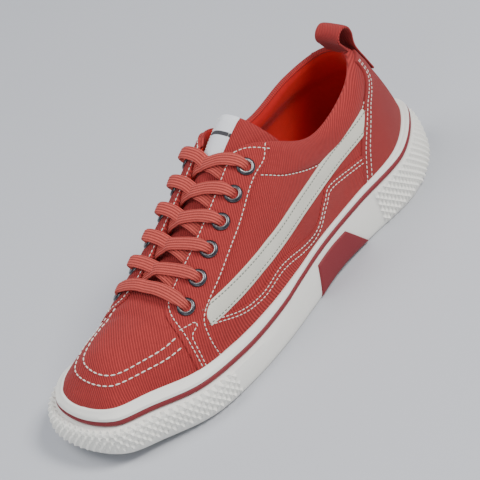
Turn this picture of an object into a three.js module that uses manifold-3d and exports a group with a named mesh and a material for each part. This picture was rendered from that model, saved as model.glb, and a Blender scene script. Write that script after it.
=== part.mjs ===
// Low canvas sneaker, left foot, standing empty on its sole.
// Millimetres, +Z up. +X runs to the toe and +Y to the outer side of the foot.
// The origin lies on the floor, under the middle of the sole's outline.

import * as THREE from 'three';
import { mergeVertices } from 'three/addons/utils/BufferGeometryUtils.js';
import Module from 'manifold-3d';

const wasm = await Module();
wasm.setup();

// ---------------------------------------------------------------- driving sizes

const LENGTH = 290;            // heel back to toe tip, along the sole
const SEAT = 13;               // height of the upper's lower edge above the tread
const SPRING_START = 200;      // the sole leaves the floor in front of this
const SPRING = 6;              // toe spring at the tip
const ARCH_START = 76;         // the sole is hollow under the arch between these two
const ARCH_END = 150;
const ARCH_RISE = 1.8;
const SWING_START = 180;       // in front of this the toe turns to the inner side
const SWING = 3;
const GAP = 0.3;               // between pieces that meet

const CANVAS = 2.4;            // wall of the upper: canvas and lining
const COLLAR_PAD = 3.0;        // extra thickness of the padded collar
const TONGUE_THICK = 3.4;      // measured upright
const INSOLE_THICK = 4.0;
const RIM = 2.6;               // thickness of the sole's rim around the upper

const STEPS = 4;               // columns of the mesh between two ribs

// ---------------------------------------------------------------- the last

// One rib per row, from the heel back round the outer side to the toe tip.
// lateral, medial: half widths of the sole; inset: from the sole's edge in to the upper;
// rise, lean: how the upper leaves the seat; shoulder and top: where the rib turns over and ends;
// innerY, innerZ: the shoulder on the inner side, where the foot falls away more steeply;
// rim: height of the sole's rim; opening: how far up the rib the upper goes (1 is closed over).
const COLUMNS = ['x', 'lateral', 'medial', 'inset', 'rise', 'lean', 'shoulderX', 'shoulderY',
  'shoulderZ', 'innerY', 'innerZ', 'topX', 'topY', 'topZ', 'rim', 'opening'];
const RIBS = {
  heel_back:   [0,    0,    0,    6.0, 30, 1.0,  24,  0,  82,  0,  82,  38,  0, 110,   31.5, 0.73],
  heel_corner: [11,  21.5, 21.5,  8.0, 30, 1.5,  31, 15,  82, 15,  82,  44, 11, 110,   32.5, 0.72],
  heel_side:   [45,  38.5, 37.5,  4.8, 30, 1.5,  54, 25,  80, 25,  80,  62, 18, 110,   32.0, 0.67],
  ankle:       [85,  38.0, 35.5,  3.4, 30, 1.5,  92, 29,  74, 29,  74,  92, 20, 110,   29.5, 0.64],
  waist:       [120, 40.0, 34.0,  3.4, 31, 1.5, 123, 36,  88, 34,  87, 114, 11, 108,   28.0, 0.75],
  arch:        [148, 44.5, 36.5,  3.8, 34, 2.0, 138, 35, 105, 29, 100, 136,  0,  91,   26.5, 0.85],
  instep:      [176, 49.0, 42.0,  5.8, 28, 2.0, 163, 36,  90, 24.5, 85, 162,  0,  77.5, 24.8, 0.86],
  ball:        [206, 51.0, 47.0,  8.0, 21, 1.5, 195, 37,  70, 26,  66, 192,  0,  62.5, 24.0, 0.86],
  vamp:        [238, 49.2, 47.5, 10.0, 14, 1.0, 226, 31,  54, 25,  52, 222,  0,  51,   25.0, 1.00],
  toe_side:    [264, 37.5, 44.0, 11.0, 12, 0.5, 248, 21,  50, 20,  49, 240,  0,  49,   27.2, 1.00],
  toe_corner:  [284, 25.5, 27.0, 11.5, 12, 0.5, 262, 12,  48, 13,  47, 249,  0,  48.5, 28.2, 1.00],
  toe_tip:     [290,  0,    0,   11.5, 12, 0.5, 266,  0,  47,  0,  47, 251,  0,  48.5, 27.8, 1.00],
};
const RIB_NAMES = Object.keys(RIBS);
const THROAT_END = 7.6;        // rib number of the front end of the throat

// A rib as named values, on the outer (+1) or the inner (-1) side of the foot.
function rib(name, side) {
  const values = Object.fromEntries(COLUMNS.map((key, i) => [key, RIBS[name][i]]));
  values.y = side * (side > 0 ? values.lateral : values.medial);
  if (side < 0) values.shoulderZ = values.innerZ;
  values.shoulderY = side > 0 ? values.shoulderY : -values.innerY;
  values.topY *= side;
  return values;
}

const loop = [
  ...RIB_NAMES.map((name) => rib(name, 1)),
  ...RIB_NAMES.slice(1, -1).reverse().map((name) => rib(name, -1)),
];
const COLUMN_COUNT = loop.length * STEPS;

// A value of the rib table at any place round the foot, u being counted in ribs.
function along(key, u) {
  const n = loop.length;
  const i = Math.floor(u);
  const f = u - i;
  const [a, b, c, d] = [-1, 0, 1, 2].map((k) => loop[(i + k + 2 * n) % n][key]);
  return 0.5 * (2 * b + (c - a) * f + (2 * a - 5 * b + 4 * c - d) * f ** 2
    + (3 * b - a - 3 * c + d) * f ** 3);
}

const spring = (x) => SPRING * Math.max(0, (x - SPRING_START) / (LENGTH - SPRING_START)) ** 2;
const swing = (x) => -SWING * Math.max(0, (x - SWING_START) / (LENGTH - SWING_START)) ** 2;

function archHollow(x) {
  const t = (x - ARCH_START) / (ARCH_END - ARCH_START);
  return t > 0 && t < 1 ? ARCH_RISE * Math.sin(Math.PI * t) ** 2 : 0;
}

const ground = (x) => spring(x) + archHollow(x);
const swung = (p) => new THREE.Vector3(p.x, p.y + swing(p.x), p.z);

// Outward normal of the sole's outline, in plan.
function planNormal(u) {
  const e = 0.01;
  const dx = along('x', u + e) - along('x', u - e);
  const dy = along('y', u + e) - along('y', u - e);
  return new THREE.Vector3(dy, -dx, 0).normalize().multiplyScalar(-1);
}

// A point on the sole's wall: inset from its outline, at a height over the floor.
function wall(u, inset, height) {
  const p = new THREE.Vector3(along('x', u), along('y', u), 0);
  p.addScaledVector(planNormal(u), -inset);
  p.z = height;
  return p;
}

// The last: w runs up a rib from the seat, 0, to the ridge of the foot, 1.
function last(u, w) {
  const foot = wall(u, along('inset', u), 0);
  foot.z = SEAT + spring(foot.x);
  const low = foot.clone().addScaledVector(planNormal(u), along('lean', u));
  low.z += along('rise', u);
  const shoulder = new THREE.Vector3(...['shoulderX', 'shoulderY', 'shoulderZ'].map((k) => along(k, u)));
  const top = new THREE.Vector3(...['topX', 'topY', 'topZ'].map((k) => along(k, u)));
  return new THREE.CubicBezierCurve3(foot, low, shoulder, top).getPoint(w);
}

// Outward normal of the last, short of the ridge.
function faceNormal(u, w) {
  const e = 0.01;
  const near = Math.min(w, 1 - e);
  const round = last(u + e, near).sub(last(u - e, near));
  const up = last(u, near + e).sub(last(u, near - e));
  return up.cross(round).normalize();
}

// Outward normal of the last; on the ridge it lies midway between the two sides and leans to neither.
function lastNormal(u, w) {
  const normal = faceNormal(u, w);
  if (w < 1) return normal;
  normal.add(faceNormal(loop.length - u, w));
  normal.y = 0;
  return normal.normalize();
}

// A point under the last's surface; a negative depth lies over it.
const under = (u, w, depth) => last(u, w).addScaledVector(lastNormal(u, w), -depth);

// How many ribs u lies from the heel back, on either side.
const fromHeel = (u) => Math.min(u, loop.length - u);

// ---------------------------------------------------------------- mesh helpers

// Rows of points joined by faces. They look out when each row runs from the heel round the
// outer side of the foot, and each next row is higher.
function sheet(rows, closed = true) {
  const faces = [];
  const width = rows[0].length;
  for (let j = 0; j + 1 < rows.length; j++) {
    for (let i = 0; i < (closed ? width : width - 1); i++) {
      const k = (i + 1) % width;
      const [a, b, c, d] = [rows[j][i], rows[j][k], rows[j + 1][k], rows[j + 1][i]];
      faces.push([a, c, b], [a, d, c]);
    }
  }
  return faces;
}

// Faces that look up, across a ring that starts at the heel back and has its middle at the toe tip.
function ladder(ring) {
  const faces = [];
  const n = ring.length;
  for (let i = 0; i < n / 2; i++) {
    const [a, b, c, d] = [ring[i], ring[i + 1], ring[n - i - 1], ring[(n - i) % n]];
    faces.push([a, c, b], [a, d, c]);
  }
  return faces;
}

const flipped = (faces) => faces.map(([a, b, c]) => [a, c, b]);

function geometryOf(faces) {
  const whole = faces.filter(([a, b, c]) => {
    const apart = 1e-3;
    return a.distanceTo(b) > apart && b.distanceTo(c) > apart && c.distanceTo(a) > apart;
  });
  const positions = whole.flat().flatMap((p) => [p.x, p.y, p.z]);
  const loose = new THREE.BufferGeometry();
  loose.setAttribute('position', new THREE.Float32BufferAttribute(positions, 3));
  return mergeVertices(loose, 1e-3);
}

// A flat band along a path. Each stop has a middle point, the way that the band faces, and
// its bow: how far the band's edges fall back from its middle. bends is the points across.
function bandFaces(stops, width, thickness, bends = 2) {
  const spots = Array.from({ length: bends }, (_, i) => 2 * i / (bends - 1) - 1);
  const rings = stops.map(({ at, up, bow = 0 }, i) => {
    const before = stops[Math.max(0, i - 1)].at;
    const after = stops[Math.min(stops.length - 1, i + 1)].at;
    const way = after.clone().sub(before).normalize();
    const across = up.clone().cross(way).normalize();
    const out = way.clone().cross(across).normalize();
    const spot = (s, lift) => at.clone().addScaledVector(across, s * width / 2)
      .addScaledVector(out, lift).addScaledVector(bow.isVector3 ? bow : out, bow.isVector3 ? s * s : 0);
    return [
      ...spots.map((s) => spot(s, -thickness / 2)),
      ...spots.toReversed().map((s) => spot(s, thickness / 2)),
    ];
  });
  const cap = (ring) => sheet([ring.slice(0, bends), ring.slice(bends).reverse()], false);
  return flipped([...sheet(rings), ...flipped(cap(rings[0])), ...cap(rings.at(-1))]);
}

function solidOf(geometry) {
  const bare = geometry.clone();
  bare.deleteAttribute('normal');
  bare.deleteAttribute('uv');
  const merged = mergeVertices(bare, 1e-3);
  return new wasm.Manifold(new wasm.Mesh({
    numProp: 3,
    vertProperties: Float32Array.from(merged.attributes.position.array),
    triVerts: Uint32Array.from(merged.index.array),
  }));
}

function geometryFrom(solid) {
  const mesh = solid.getMesh();
  const geometry = new THREE.BufferGeometry();
  geometry.setAttribute('position', new THREE.Float32BufferAttribute(mesh.vertProperties, 3));
  geometry.setIndex(new THREE.Uint32BufferAttribute(mesh.triVerts, 1));
  return geometry;
}

function material(colour, roughness, metalness = 0) {
  return new THREE.MeshStandardMaterial({ color: colour, roughness, metalness });
}

const shoe = new THREE.Group();

function add(name, geometry, finish) {
  geometry.computeVertexNormals();
  const mesh = new THREE.Mesh(geometry, finish);
  mesh.name = name;
  shoe.add(mesh);
  return mesh;
}

const columns = Array.from({ length: COLUMN_COUNT }, (_, i) => i / STEPS);
const ringOf = (point) => columns.map((u) => swung(point(u)));

// ---------------------------------------------------------------- the heights that pieces share

// How far up a rib the sole's rim reaches, found by halving.
function rimShare(u) {
  let [low, high] = [0, 0.6];
  for (let i = 0; i < 24; i++) {
    const middle = (low + high) / 2;
    if (last(u, middle).z < along('rim', u)) low = middle;
    else high = middle;
  }
  return low;
}

// How far up a rib the upper reaches: the collar, the eyestay's top corner and the throat.
function openingShare(u) {
  const r = fromHeel(u);
  if (r > THROAT_END) return 1;
  if (r > 5) return loop[5].opening;
  return along('opening', u);
}

const UPPER_LEVELS = [0, 0.12, 0.26, 0.42, 0.58, 0.72, 0.86, 1];

// The shares of the rib at which the upper has its rows; the first three stand inside the rim.
function upperShares(u) {
  const rim = rimShare(u);
  const top = openingShare(u);
  return [0, rim / 2, ...UPPER_LEVELS.map((f) => rim + (top - rim) * f)];
}

// Wall of the upper: canvas, and padding in the upper half of the collar.
const PAD_LOW = 0.46;
const PAD_FULL = 0.58;
const PAD_END = 3.1;
const PAD_FADE = 0.8;
function wallThickness(u, w) {
  const height = THREE.MathUtils.smoothstep(w, PAD_LOW, PAD_FULL);
  const fore = 1 - THREE.MathUtils.smoothstep(fromHeel(u), PAD_END, PAD_END + PAD_FADE);
  return CANVAS + COLLAR_PAD * height * fore;
}

// ---------------------------------------------------------------- sole

const GROOVE_DEPTH = 1.6;
const GROOVE_WIDTH = 3.2;
const GROOVE_PITCH = 11;
const FORE_GROOVES = { first: 160, count: 10 };
const HEEL_GROOVES = { first: 18, count: 5 };
const GROOVE_MARGIN = 4.5;     // the grooves stop this far inside the sole's edge
const STRIPE_DROP = 5;         // the wall turns inwards this far under the rim

// Half wall of the cup sole, from the tread's edge up and over the rim: inset from the outline
// and height, both worked out from the rib's own inset and rim height.
function soleProfile(u) {
  const inset = along('inset', u);
  const rim = along('rim', u);
  const stripe = Math.max(0.6, 0.85 * (inset - 4));
  const x = along('x', u);
  const floor = ground(x);
  return [
    [1.8, floor],
    [0.3, floor + 2.2],
    [0, floor + 0.35 * (rim - floor)],
    [0.35 * stripe, floor + 0.6 * (rim - floor)],
    [stripe, rim - STRIPE_DROP],
    [inset - RIM, rim - 1],
    [inset - RIM + 0.8, rim],
  ];
}

function grooveBox(x) {
  const top = ground(x) + GROOVE_DEPTH;
  const box = new THREE.BoxGeometry(GROOVE_WIDTH, 140, top + 4);
  box.translate(x, swing(x), (top - 4) / 2);
  return solidOf(box);
}

function makeSole() {
  const levels = soleProfile(0).length;
  const outside = Array.from({ length: levels }, (_, j) => ringOf((u) => wall(u, ...soleProfile(u)[j])));
  const inside = [0, 0.5, 1].map((f) => ringOf((u) => {
    const w = rimShare(u) * f;
    const p = last(u, w).addScaledVector(planNormal(u), GAP);
    if (f === 0) p.z -= GAP;
    return p;
  }));
  const faces = [
    ...sheet([...outside, inside.at(-1)]),
    ...flipped(sheet(inside)),
    ...flipped(ladder(outside[0])),
    ...ladder(inside[0]),
  ];
  const core = [-GROOVE_MARGIN, SEAT].map((height) => ringOf((u) => wall(u, GROOVE_MARGIN, height)));
  const grooved = solidOf(geometryOf([...sheet(core), ...flipped(ladder(core[0])), ...ladder(core[1])]));
  let solid = solidOf(geometryOf(faces));
  for (const { first, count } of [FORE_GROOVES, HEEL_GROOVES]) {
    for (let i = 0; i < count; i++) {
      solid = solid.subtract(grooveBox(first + i * GROOVE_PITCH).intersect(grooved));
    }
  }
  add('sole', geometryFrom(solid), material('#d9d3c6', 0.7));
}

// ---------------------------------------------------------------- eyelets: where they sit

// rib: place round the foot; share: place up the rib. From the ankle down to the vamp.
const EYELETS = [
  { rib: 5.0, share: 0.715 },
  { rib: 5.6, share: 0.71 },
  { rib: 6.13, share: 0.715 },
  { rib: 6.6, share: 0.715 },
  { rib: 7.06, share: 0.695 },
  { rib: 7.5, share: 0.655 },
];
const HOLE_RADIUS = 3.8;
const BARREL_RADIUS = 3.5;
const BORE_RADIUS = 2.7;
const FLANGE_RADIUS = 5.2;
const FLANGE_HEIGHT = 1.1;
const INNER_LOWER = 0.04;      // the inner row sits this much lower on its ribs

// Where an eyelet sits on one side, and the way that its axis points.
function eyeletSeat({ rib: place, share }, side) {
  const u = side > 0 ? place : loop.length - place;
  const w = side > 0 ? share : share - INNER_LOWER;
  return { centre: last(u, w), axis: lastNormal(u, w) };
}

function onSeat(geometry, { centre, axis }) {
  const turn = new THREE.Quaternion().setFromUnitVectors(new THREE.Vector3(0, 0, 1), axis);
  const at = swung(centre);
  return geometry.applyMatrix4(new THREE.Matrix4().makeRotationFromQuaternion(turn))
    .translate(at.x, at.y, at.z);
}

const SIDES = [['lateral', 1], ['medial', -1]];

// ---------------------------------------------------------------- upper

function makeUpper() {
  const rows = (depth) => upperShares(0).map((_, j) => ringOf((u) => {
    const w = upperShares(u)[j];
    return under(u, w, depth ? wallThickness(u, w) : 0);
  }));
  const outer = rows(false);
  const inner = rows(true);
  const topOuter = outer.at(-1);
  const topInner = inner.at(-1);
  const shut = columns.map((u) => openingShare(u) === 1);
  const edge = columns.flatMap((_, i) => {
    const k = (i + 1) % COLUMN_COUNT;
    if (shut[i] && shut[k]) return [];
    return sheet([[topOuter[i], topOuter[k]], [topInner[i], topInner[k]]], false);
  });
  const faces = [...sheet(outer), ...flipped(sheet(inner)), ...sheet([inner[0], outer[0]]), ...edge];
  let solid = solidOf(geometryOf(faces));
  for (const [, side] of SIDES) {
    for (const place of EYELETS) {
      const drill = new THREE.CylinderGeometry(HOLE_RADIUS, HOLE_RADIUS, 14, 12).rotateX(Math.PI / 2);
      solid = solid.subtract(solidOf(onSeat(drill, eyeletSeat(place, side))));
    }
  }
  add('upper', geometryFrom(solid), material('#b8423c', 0.9));
}

// ---------------------------------------------------------------- tongue

// One section per row, from the upper edge down to the end sewn under the vamp.
// crown: height of the middle line; half, drop: how far out and how much lower the outer edge
// lies; innerHalf, innerDrop: the same for the inner edge; sweep: how far both fall back.
const TONGUE_COLUMNS = ['x', 'crown', 'half', 'drop', 'innerHalf', 'innerDrop', 'sweep'];
const TONGUE_ROWS = [
  [117, 102.5, 23, 19.0, 22.0, 19.0, 7],
  [130,  95.5, 22, 12.0, 18.5, 14.0, 3],
  [146,  85.5, 20,  6.5, 16.0, 11.0, 1],
  [165,  74.0, 19,  3.5, 15.5,  8.5, 0],
  [180,  65.5, 19,  2.5, 15.5,  7.5, 0],
  [195,  58.2, 19,  2.2, 15.5,  6.5, 0],
  [212,  50.5, 18,  2.2, 15.5,  5.5, 0],
].map((row) => Object.fromEntries(TONGUE_COLUMNS.map((key, i) => [key, row[i]])));
const TONGUE_LENGTH_STEPS = 12;
const TONGUE_WIDTH_STEPS = 12;
const TONGUE_ROUND = 2.2;      // power of the curve from the middle line down to the edges

// s runs across, -1 to 1; t runs from the upper edge, 0, to the front end, 1.
function tonguePoint(s, t, depth) {
  const line = (key) => {
    const curve = new THREE.SplineCurve(TONGUE_ROWS.map((row, i) => new THREE.Vector2(i, row[key])));
    return curve.getPoint(t).y;
  };
  const fall = Math.abs(s) ** TONGUE_ROUND;
  return swung(new THREE.Vector3(
    line('x') - line('sweep') * s * s,
    line(s < 0 ? 'innerHalf' : 'half') * s,
    line('crown') - line(s < 0 ? 'innerDrop' : 'drop') * fall - depth,
  ));
}

function makeTongue() {
  const rows = (depth) => Array.from({ length: TONGUE_LENGTH_STEPS + 1 }, (_, j) =>
    Array.from({ length: TONGUE_WIDTH_STEPS + 1 }, (_, i) =>
      tonguePoint(2 * i / TONGUE_WIDTH_STEPS - 1, j / TONGUE_LENGTH_STEPS, depth)));
  const top = rows(0);
  const low = rows(TONGUE_THICK);
  const rim = (grid) => [
    ...grid[0],
    ...grid.slice(1).map((row) => row.at(-1)),
    ...grid.at(-1).slice(0, -1).reverse(),
    ...grid.slice(1, -1).reverse().map((row) => row[0]),
  ];
  const faces = [...sheet(top, false), ...flipped(sheet(low, false)), ...sheet([rim(low), rim(top)])];
  add('tongue', geometryOf(faces), material('#c04a42', 0.9));
}

// ---------------------------------------------------------------- insole

function makeInsole() {
  const edge = (lift, w, inset) => ringOf((u) => {
    const p = under(u, w, CANVAS + GAP + inset);
    p.z = SEAT + spring(p.x) + lift;
    return p;
  });
  const rings = [edge(0, 0, 0.8), edge(INSOLE_THICK - 1, 0.05, 0.5), edge(INSOLE_THICK, 0.06, 1.5)];
  const faces = [...sheet(rings), ...flipped(ladder(rings[0])), ...ladder(rings.at(-1))];
  add('insole', geometryOf(faces), material('#9c3630', 0.95));
}

// ---------------------------------------------------------------- eyelets

// A rolled ring: a barrel through the upper, a flange outside and a small lip inside.
function makeEyelets() {
  const lip = -(CANVAS + 1.9);
  const profile = [
    [BORE_RADIUS, lip],
    [BARREL_RADIUS + 0.9, lip],
    [BARREL_RADIUS, lip + 0.9],
    [BARREL_RADIUS, GAP],
    [FLANGE_RADIUS, GAP],
    [FLANGE_RADIUS - 0.5, GAP + 0.7 * FLANGE_HEIGHT],
    [BORE_RADIUS + 1, GAP + FLANGE_HEIGHT],
    [BORE_RADIUS, GAP + 0.3 * FLANGE_HEIGHT],
    [BORE_RADIUS, lip],
  ].map(([r, z]) => new THREE.Vector2(r, z));
  for (const [name, side] of SIDES) {
    EYELETS.forEach((place, i) => {
      const ring = new THREE.LatheGeometry(profile, 12).rotateX(Math.PI / 2);
      const geometry = geometryFrom(solidOf(onSeat(ring, eyeletSeat(place, side))));
      add(`eyelet_${name}_${i + 1}`, geometry, material('#3b3d40', 0.35, 0.9));
    });
  }
}

// ---------------------------------------------------------------- lace

const LACE_WIDTH = 7.5;
const LACE_THICK = 1.6;

// Heights of the lace's middle over the last. across is 0 on the ridge and 1 at the eyelets:
// a strip comes up from under one side, crosses, and lies over the eyelet of the other side.
const OVER = [
  { across: 0.3, height: 2.1 },
  { across: 0.55, height: 2.3 },
  { across: 0.8, height: 3.1 },
  { across: 1, height: 2.8 },
];
const FROM_UNDER = [
  { across: -0.3, height: -0.6 },
  { across: -0.17, height: 0.7 },
];
const LOWER_CROSSING = 1.7;
const BAR_HEIGHT = 3.0;
const BAR_FORWARD = 0.12;      // the bar bows towards the toe by this part of a rib
const UPPER_CROSSING = 3.1;

// A place over the last between an eyelet on one side and an eyelet on the other.
function lacePoint(from, to, side, across, height) {
  const f = (across + 1) / 2;
  const place = from.rib + (to.rib - from.rib) * f;
  const outer = across * side >= 0;
  const share = from.share + (to.share - from.share) * f - (outer ? 0 : INNER_LOWER);
  const w = 1 - (1 - share) * Math.abs(across);
  const u = outer ? place : loop.length - place;
  return { at: swung(under(u, w, -height)), up: lastNormal(u, w) };
}

// One strip, from under the lower eyelet's side over to the upper eyelet of the given side.
function strip(from, to, side, crossing) {
  const heights = [...FROM_UNDER, { across: 0, height: crossing }, ...OVER];
  const stops = heights.map(({ across, height }) => lacePoint(from, to, side, across, height));
  return solidOf(geometryOf(bandFaces(stops, LACE_WIDTH, LACE_THICK)));
}

function makeLace() {
  const finish = () => material('#c9574b', 0.9);
  for (let i = 0; i + 1 < EYELETS.length; i++) {
    const [upper, lower] = [EYELETS[i], EYELETS[i + 1]];
    const cross = strip(lower, upper, 1, UPPER_CROSSING).add(strip(lower, upper, -1, LOWER_CROSSING));
    add(`lace_cross_${i + 1}`, geometryFrom(cross), finish());
  }
  const lowest = EYELETS.at(-1);
  const stops = [-1, -0.8, -0.5, -0.25, 0, 0.25, 0.5, 0.8, 1].map((across) => {
    const spot = { rib: lowest.rib + BAR_FORWARD * (1 - Math.abs(across)), share: lowest.share };
    return lacePoint(spot, spot, 1, across, BAR_HEIGHT);
  });
  add('lace_bar', geometryOf(bandFaces(stops, LACE_WIDTH, LACE_THICK)), finish());
}

// ---------------------------------------------------------------- pull loop

const LOOP_WIDTH = 18;
const LOOP_THICK = 1.6;

// The webbing's middle line, from its sewn end outside the heel over to the inside; it leans
// a little to the outer side. bow: how far its edges wrap towards the toe.
const LOOP_ROUTE = [
  { x: 15.0, y: 0.0, z: 63.2, bow: 1.8 },
  { x: 18.8, y: 0.2, z: 73.0, bow: 1.8 },
  { x: 22.9, y: 0.6, z: 82.8, bow: 1.6 },
  { x: 24.3, y: 1.2, z: 88.5, bow: 1.2 },
  { x: 24.6, y: 2.0, z: 94.0, bow: 0.8 },
  { x: 26.6, y: 2.6, z: 99.0, bow: 0.5 },
  { x: 30.5, y: 2.8, z: 101.2, bow: 0.3 },
  { x: 34.4, y: 2.6, z: 99.4, bow: 0.5 },
  { x: 36.4, y: 2.0, z: 95.0, bow: 1.0 },
  { x: 36.2, y: 1.4, z: 89.5, bow: 1.8 },
  { x: 35.0, y: 0.8, z: 84.0, bow: 2.6 },
  { x: 32.8, y: 0.4, z: 77.0, bow: 3.0 },
];

function makePullLoop() {
  const stops = LOOP_ROUTE.map(({ x, y, z, bow }, i) => {
    const next = LOOP_ROUTE[Math.min(i + 1, LOOP_ROUTE.length - 1)];
    const back = LOOP_ROUTE[Math.max(i - 1, 0)];
    return {
      at: new THREE.Vector3(x, y, z),
      up: new THREE.Vector3(-(next.z - back.z), 0, next.x - back.x).normalize(),
      bow: new THREE.Vector3(bow, 0, 0),
    };
  });
  add('pull_loop', geometryOf(bandFaces(stops, LOOP_WIDTH, LOOP_THICK, 5)), material('#b34740', 0.9));
}

// ---------------------------------------------------------------- build

makeSole();
makeUpper();
makeTongue();
makeInsole();
makeEyelets();
makeLace();
makePullLoop();

// The origin goes under the middle of the sole.
const soleBox = new THREE.Box3().setFromObject(shoe.getObjectByName('sole'));
const middle = soleBox.getCenter(new THREE.Vector3());
shoe.position.set(-middle.x, -middle.y, -soleBox.min.z);

export default shoe;
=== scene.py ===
"""A low canvas lace-up shoe for the left foot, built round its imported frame."""

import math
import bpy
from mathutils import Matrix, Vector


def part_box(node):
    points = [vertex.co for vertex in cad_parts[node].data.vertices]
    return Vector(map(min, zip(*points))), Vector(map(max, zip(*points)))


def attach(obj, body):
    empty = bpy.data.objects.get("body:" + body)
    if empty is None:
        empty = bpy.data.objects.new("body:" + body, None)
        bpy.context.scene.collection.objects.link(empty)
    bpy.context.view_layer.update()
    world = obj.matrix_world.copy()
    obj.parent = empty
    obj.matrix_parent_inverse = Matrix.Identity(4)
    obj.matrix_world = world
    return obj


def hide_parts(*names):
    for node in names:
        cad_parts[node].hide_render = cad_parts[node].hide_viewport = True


bl_info = {
    "name": "Canvas Lace-up Shoe",
    "version": (1, 0, 0),
    "blender": (4, 5, 0),
    "location": "3D View > Sidebar > Shoe",
    "description": "Builds the cloth, rubber, laces and stitching of a canvas shoe on its frame",
    "category": "Add Mesh",
}

import bpy
import numpy as np
from mathutils import Matrix, Vector

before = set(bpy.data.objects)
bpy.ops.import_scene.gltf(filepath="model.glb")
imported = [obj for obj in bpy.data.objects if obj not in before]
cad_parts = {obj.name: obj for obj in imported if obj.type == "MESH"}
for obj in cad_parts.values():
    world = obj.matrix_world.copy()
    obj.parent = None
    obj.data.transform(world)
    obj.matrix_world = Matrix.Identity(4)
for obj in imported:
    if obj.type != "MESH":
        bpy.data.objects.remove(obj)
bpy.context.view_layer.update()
BODY = "root"

# ------------------------------------------------------------------ the last
# Everything on the shoe is drawn on its last, in millimetres: x runs from the heel back to
# the toe, y to the outer side, z up. A place on it is (u, w): u counts ribs round the foot
# from the heel back, by the outer side to the toe tip and back, and w runs up a rib.

LENGTH = 290
SEAT = 13
SPRING_START = 200
SPRING = 6
ARCH = (76, 150)
ARCH_RISE = 1.8
SWING_START = 180
SWING = 3
CANVAS = 2.4
COLLAR_PAD = 3.0
PAD_SHARE = (0.46, 0.58)
PAD_RIBS = (3.1, 3.9)

COLUMNS = ("x", "lateral", "medial", "inset", "rise", "lean", "shoulder_x", "shoulder_y",
           "shoulder_z", "inner_y", "inner_z", "top_x", "top_y", "top_z", "rim", "opening")
RIBS = {
    "heel_back": (0, 0, 0, 6.0, 30, 1.0, 24, 0, 82, 0, 82, 38, 0, 110, 31.5, 0.73),
    "heel_corner": (11, 21.5, 21.5, 8.0, 30, 1.5, 31, 15, 82, 15, 82, 44, 11, 110, 32.5, 0.72),
    "heel_side": (45, 38.5, 37.5, 4.8, 30, 1.5, 54, 25, 80, 25, 80, 62, 18, 110, 32.0, 0.67),
    "ankle": (85, 38.0, 35.5, 3.4, 30, 1.5, 92, 29, 74, 29, 74, 92, 20, 110, 29.5, 0.64),
    "waist": (120, 40.0, 34.0, 3.4, 31, 1.5, 123, 36, 88, 34, 87, 114, 11, 108, 28.0, 0.75),
    "arch": (148, 44.5, 36.5, 3.8, 34, 2.0, 138, 35, 105, 29, 100, 136, 0, 91, 26.5, 0.85),
    "instep": (176, 49.0, 42.0, 5.8, 28, 2.0, 163, 36, 90, 24.5, 85, 162, 0, 77.5, 24.8, 0.86),
    "ball": (206, 51.0, 47.0, 8.0, 21, 1.5, 195, 37, 70, 26, 66, 192, 0, 62.5, 24.0, 0.86),
    "vamp": (238, 49.2, 47.5, 10.0, 14, 1.0, 226, 31, 54, 25, 52, 222, 0, 51, 25.0, 1.0),
    "toe_side": (264, 37.5, 44.0, 11.0, 12, 0.5, 248, 21, 50, 20, 49, 240, 0, 49, 27.2, 1.0),
    "toe_corner": (284, 25.5, 27.0, 11.5, 12, 0.5, 262, 12, 48, 13, 47, 249, 0, 48.5, 28.2, 1.0),
    "toe_tip": (290, 0, 0, 11.5, 12, 0.5, 266, 0, 47, 0, 47, 251, 0, 48.5, 27.8, 1.0),
}
TOE = len(RIBS) - 1
ROUND = 2 * TOE
THROAT_END = 7.6


def rib_loop():
    """The columns of the rib table round the whole foot, the inner side mirrored."""
    rows = [dict(zip(COLUMNS, values)) for values in RIBS.values()]
    outer = [dict(row, y=row["lateral"]) for row in rows]
    inner = [dict(row, y=-row["medial"], shoulder_y=-row["inner_y"], shoulder_z=row["inner_z"],
                  top_y=-row["top_y"]) for row in rows[-2:0:-1]]
    return {key: np.array([row[key] for row in outer + inner]) for key in outer[0]}


LOOP = rib_loop()


def along(key, u):
    """A column of the rib table at any place round the foot."""
    u = np.asarray(u, float)
    i = np.floor(u).astype(int)
    f = u - i
    a, b, c, d = (LOOP[key][(i + k) % ROUND] for k in (-1, 0, 1, 2))
    return 0.5 * (2 * b + (c - a) * f + (2 * a - 5 * b + 4 * c - d) * f**2
                  + (3 * b - a - 3 * c + d) * f**3)


def smoothstep(x, low, high):
    t = np.clip((np.asarray(x, float) - low) / (high - low), 0, 1)
    return t * t * (3 - 2 * t)


def unit(vectors):
    return vectors / np.maximum(np.linalg.norm(vectors, axis=-1, keepdims=True), 1e-12)


def spring(x):
    return SPRING * np.maximum(0, (x - SPRING_START) / (LENGTH - SPRING_START)) ** 2


def ground(x):
    """Height of the tread over the floor: the toe spring and the hollow under the arch."""
    t = np.clip((x - ARCH[0]) / (ARCH[1] - ARCH[0]), 0, 1)
    return spring(x) + ARCH_RISE * np.sin(math.pi * t) ** 2


def swung(points):
    """The toe turned to the inner side."""
    points = np.array(points, float)
    x = points[..., 0]
    points[..., 1] -= SWING * np.maximum(0, (x - SWING_START) / (LENGTH - SWING_START)) ** 2
    return points


def plan_normal(u):
    e = 0.01
    dx = along("x", u + e) - along("x", u - e)
    dy = along("y", u + e) - along("y", u - e)
    return unit(np.stack([-dy, dx, 0 * dx], -1))


def wall(u, inset, height):
    """A point on the sole's wall, inset from its outline, before the toe is turned."""
    u, inset, height = np.broadcast_arrays(np.asarray(u, float), inset, height)
    points = np.stack([along("x", u), along("y", u), 0.0 * u], -1)
    points = points - plan_normal(u) * inset[..., None]
    points[..., 2] = height
    return points


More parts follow.
